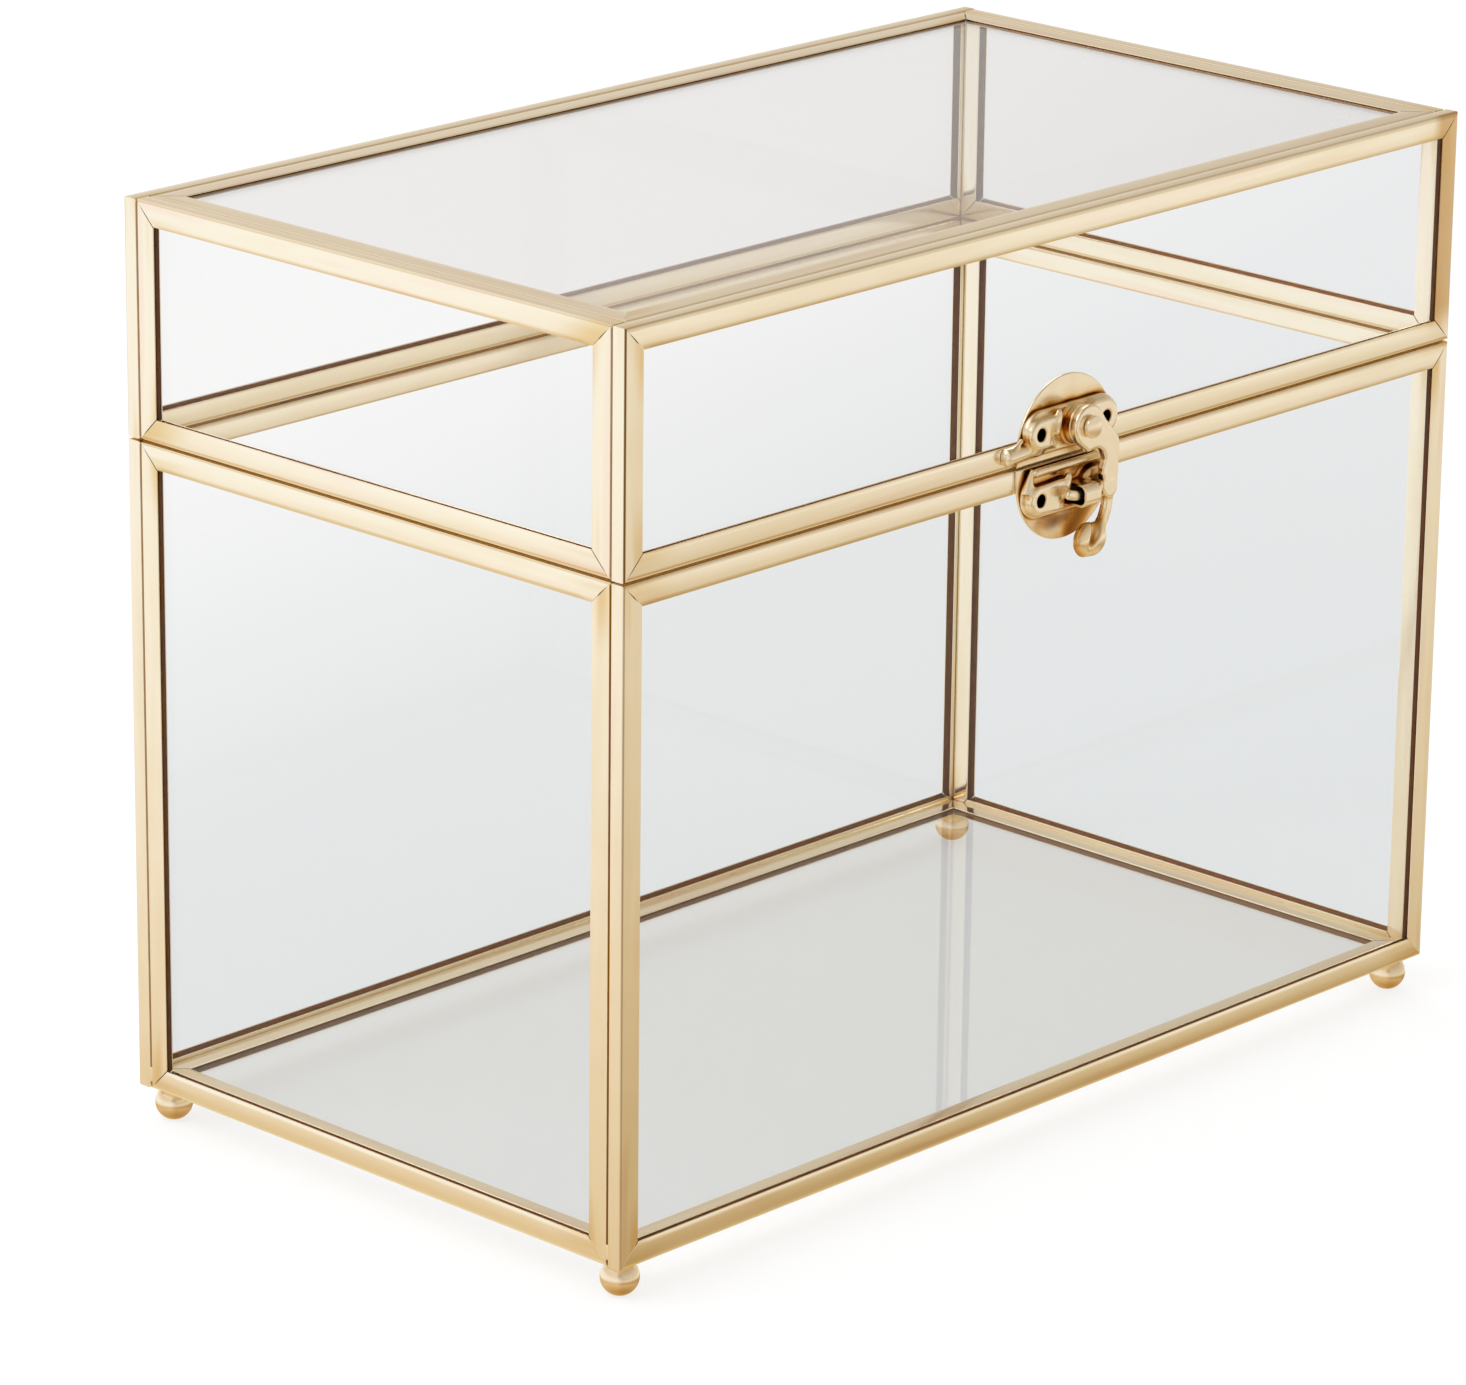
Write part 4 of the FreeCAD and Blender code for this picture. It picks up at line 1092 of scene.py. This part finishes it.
def drilled(form, x, h, d, holes):
    for hole_x, hole_h in holes:
        hole = slab(np.hypot(x - hole_x, h - hole_h) - HOLE_RADIUS, d, *HOLE_LEVELS, edge=0.05)
        form = cut_out(form, hole, fillet=0.35)
    # The plates lie on the discs, and the lift tab past the disc reaches back to the frame
    return np.maximum(form, np.where(x < LIFT_BEYOND, LIFT_BACK, BACKING_THICKNESS) - d)


# Where a hole is painted near black as shade, below a level
def in_holes(x, h, d, holes):
    out = np.minimum(*[np.hypot(x - hole_x, h - hole_h) for hole_x, hole_h in holes])
    return (out < HOLE_RADIUS + WALL) & (d < HOLE_SHADE_BELOW)


def plate_form(x, h, d, plate):
    ends = [(LATCH_MIDDLE + reach, plate["middle"]) for reach in (-PLATE_HALF, PLATE_HALF)]
    return slab(rod(x, h, *ends) - plate["radius"], d, 0, plate["level"], plate["edge"])


def latch_plate_form(x, h, d):
    form = end_panels(plate_form(x, h, d, LID_PLATE), x, h, d, LID_HOLES, *LID_INNER_END)
    boss = slab(np.hypot(x - PIVOT[0], h - PIVOT[1]) - BOSS_RADIUS, d, *BOSS_LEVELS, edge=0.35)
    form = joined(form, boss, fillet=0.7)
    tab = slab(wire(x, h, d, *LIFT_TAB), x, *LIFT_ENDS, edge=1.3)
    form = joined(form, joined(tab, wire(x, h, d, *SPUR), fillet=0.6), fillet=0.9)
    return drilled(form, x, h, d, LID_HOLES)


def catch_plate_form(x, h, d):
    form = joined(plate_form(x, h, d, BASE_PLATE), wire(x, h, d, *LIP), fillet=0.5)
    foot_x, foot_h, foot_d = HORN_FOOT
    to_tip = np.clip((h - foot_h) / HORN_HEIGHT, 0, 1)
    out = np.hypot(x - foot_x - HORN_LEAN[0] * to_tip, d - foot_d - HORN_LEAN[1] * to_tip)
    horn = out - HORN_RADII[0] * (1 - to_tip) - HORN_RADII[1]
    horn = np.maximum(horn, np.maximum(h - HORN_ENDS[1], HORN_ENDS[0] - h))
    form = joined(form, horn, fillet=0.5)
    form = end_panels(form, x, h, d, BASE_HOLES, *BASE_INNER_END)
    across = np.abs(h - BRIDGE_CENTRE[1]) - BRIDGE_HALF
    outer = slab(across, d, BRIDGE_BACK, BRIDGE_LEVEL, edge=1.7)
    outer = slab(outer, x, BRIDGE_LEFT, BRIDGE_SIDES[1], edge=2.2)
    outer = np.maximum(outer, BRIDGE_SIDES[0] - x)
    inner = slab(across + BRIDGE_SHEET, d, BRIDGE_BACK, BRIDGE_LEVEL - BRIDGE_SHEET, edge=1.2)
    inner = np.maximum(np.maximum(inner, TUNNEL_FLOOR - d), np.abs(x - BRIDGE_CENTRE[0]) - TUNNEL_HALF)
    form = cut_out(joined(form, outer, fillet=0.7), inner, fillet=0.12)
    return drilled(form, x, h, d, BASE_HOLES)


# Where the tunnel under the bridge is painted near black as shade
def in_tunnel(x, h, d):
    inside = np.abs(h - BRIDGE_CENTRE[1]) < BRIDGE_HALF - BRIDGE_SHEET + WALL
    inside &= np.abs(x - BRIDGE_CENTRE[0]) < TUNNEL_SHADE_HALF
    return inside & (d < BRIDGE_LEVEL - BRIDGE_SHEET + WALL) & (d > TUNNEL_SHADE_FROM)


latch_pieces = {
    "lid": (1, "lid_backing_plate", "latch_plate", latch_plate_form, LID_PLATE_BOX,
            lambda x, h, d: in_holes(x, h, d, LID_HOLES)),
    "base": (-1, "base_backing_plate", "catch_plate", catch_plate_form, BASE_PLATE_BOX,
             lambda x, h, d: in_holes(x, h, d, BASE_HOLES) | in_tunnel(x, h, d)),
}
for body, (up, disc_node, plate_node, form, plate_box, dark) in latch_pieces.items():
    heights = sorted(up * corner[1] for corner in BACKING_BOX)
    disc_box = [(corner[0], height, corner[2]) for corner, height in zip(BACKING_BOX, heights)]
    disc = sculpted(
        f"{body}_latch_disc", backing_disc(up), *disc_box, LATCH_CELL, face_turns["front"],
        neighbours=lambda x, h, d: np.minimum(form(x, h, d), wire(x, h, d, *TAIL_OVER)))
    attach(disc, body)
    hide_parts(disc_node)
    plate = sculpted(
        f"{body}_stamped_plate", form, *plate_box, LATCH_CELL, face_turns["front"], dark, backing_disc(up))
    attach(plate, body)
    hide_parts(plate_node)

# Latch hook: one casting that swings on the rivet. Its head sits on the boss, a broad C-shaped arm goes
# round the seam, a prong slides under the bridge, and the tail swells into a finger tab that curls forward.
HOOK_BACK = 4.4
HOOK_FRONT = 6.25
HOOK_BOX = ((-5.0, -21.6, 3.3), (12.6, 12.2, 8.2))
HEAD_RADIUS = 4.15
NECK_END = (6.5, 1.7)
NECK_HALF = 4.0
ARM_CENTRE = (3.1, -1.1)
ARM_MIDDLE = 5.45
ARM_HALF = 1.85
ARM_FROM = math.radians(-48)
ARM_TO = math.radians(112)
SHOULDER = ((8.2, -3.5), (8.1, -7.0))
SHOULDER_HALF = 2.25
PRONG_RADIUS = 14.5
PRONG_HALF = 1.05
PRONG_TIP = -3.6
PRONG_ROOT = 9.0
PRONG_FRONT = 5.9
BORE_RADIUS = 1.56
TAIL = ((8.6, -6.0), (8.5, -9.5), (8.1, -11.8), (7.2, -13.8), (5.8, -15.6))
TAIL_HALF = 1.2
TAIL_LEVELS = (4.0, 5.95)
TAB = ((1.0, -16.8), (4.0, -17.2))
TAB_BREADTH = 3.6
TAB_MIDDLE = 5.65
TAB_HALF = 1.75
# The tab's curl: how steep, from where, and between which limits
CURL_SLOPE = 0.1
CURL_FROM = 2.5
CURL_LIMITS = (-3.0, 4.5)
# The hollow for the finger: where, how slanting, and how large
HOLLOW_PLACE = (3.2, -14.9, 7.6)
HOLLOW_SLANT = 0.6
HOLLOW_LEVEL = -15.0
HOLLOW_SIZE = (1.6, 2.9, 2.0)


def hook_form(x, h, d):
    from_pivot = np.hypot(x - PIVOT[0], h - PIVOT[1])
    arm_x, arm_h = x - ARM_CENTRE[0], h - ARM_CENTRE[1]
    from_centre = np.hypot(arm_x, arm_h)
    ring = np.abs(from_centre - ARM_MIDDLE) - ARM_HALF
    before = arm_x * math.sin(ARM_FROM) - arm_h * math.cos(ARM_FROM)
    after = arm_h * math.cos(ARM_TO) - arm_x * math.sin(ARM_TO)
    ring = np.maximum(ring, np.maximum(before, after))
    shoulder = rod(x, h, *SHOULDER) - SHOULDER_HALF
    neck = np.maximum(rod(x, h, PIVOT, NECK_END) - NECK_HALF, ARM_MIDDLE - ARM_HALF - from_centre)
    head = joined(from_pivot - HEAD_RADIUS, neck, fillet=1.2)
    flat = joined(head, joined(ring, shoulder, fillet=1.0), fillet=1.5)
    form = slab(flat, d, HOOK_BACK, HOOK_FRONT, edge=0.5)
    tip_drop = math.sqrt(PRONG_RADIUS ** 2 - (PRONG_TIP - PIVOT[0]) ** 2)
    before_tip = np.hypot(x - PRONG_TIP, h - PIVOT[1] + tip_drop)
    prong = np.where(x < PRONG_TIP, before_tip, np.abs(from_pivot - PRONG_RADIUS)) - PRONG_HALF
    prong = np.maximum(prong, np.maximum(h, x - PRONG_ROOT))
    form = joined(form, slab(prong, d, HOOK_BACK, PRONG_FRONT, edge=0.7), fillet=0.3)
    tail = np.minimum.reduce([rod(x, h, start, end) for start, end in zip(TAIL, TAIL[1:])]) - TAIL_HALF
    form = joined(form, slab(tail, d, *TAIL_LEVELS, edge=0.8), fillet=0.5)
    curl = CURL_SLOPE * np.clip(CURL_FROM - x, *CURL_LIMITS)
    tab = np.hypot(rod(x, h, *TAB) / TAB_BREADTH, (d - curl - TAB_MIDDLE) / TAB_HALF)
    form = joined(form, (tab - 1) * TAB_HALF, fillet=0.7)
    hollow_x = (x - HOLLOW_PLACE[0] - HOLLOW_SLANT * (h - HOLLOW_LEVEL)) / HOLLOW_SIZE[0]
    hollow_h = (h - HOLLOW_PLACE[1]) / HOLLOW_SIZE[1]
    hollow = np.hypot(np.hypot(hollow_x, hollow_h), (d - HOLLOW_PLACE[2]) / HOLLOW_SIZE[2])
    form = cut_out(form, (hollow - 1) * HOLLOW_SIZE[0], fillet=1.0)
    return np.maximum(form, BORE_RADIUS - from_pivot)


hook = sculpted("swing_hook", hook_form, *HOOK_BOX, LATCH_CELL, face_turns["front"])
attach(hook, "latch_hook")
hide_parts("latch_hook")

# Pivot rivet: a short brass rivet through the boss and the hook, which turns on its shank.
# Its head is domed, and it is closed at the back of the lid's plate.
PIVOT_CELL = 0.12
SHANK_RADIUS = 1.48
SHANK_LEVELS = (2.0, 6.8)
RIVET_HEAD = 2.35
RIVET_UNDER_HEAD = 6.32
RIVET_TOP = 7.74
DOME_RADIUS = 8.0
RIVET_BOX = ((-1.5, 4.5, 1.6), (3.9, 9.9, 8.2))


def rivet_form(x, h, d):
    out = np.hypot(x - PIVOT[0], h - PIVOT[1])
    shank = slab(out - SHANK_RADIUS, d, *SHANK_LEVELS, edge=0.05)
    head = slab(out - RIVET_HEAD, d, RIVET_UNDER_HEAD, RIVET_TOP, edge=0.55)
    dome = np.sqrt(out ** 2 + (d - RIVET_TOP + DOME_RADIUS) ** 2) - DOME_RADIUS
    return np.minimum(shank, np.maximum(head, dome))


rivet = sculpted("rivet_dome", rivet_form, *RIVET_BOX, PIVOT_CELL, face_turns["front"])
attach(rivet, "lid")
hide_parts("pivot_rivet")
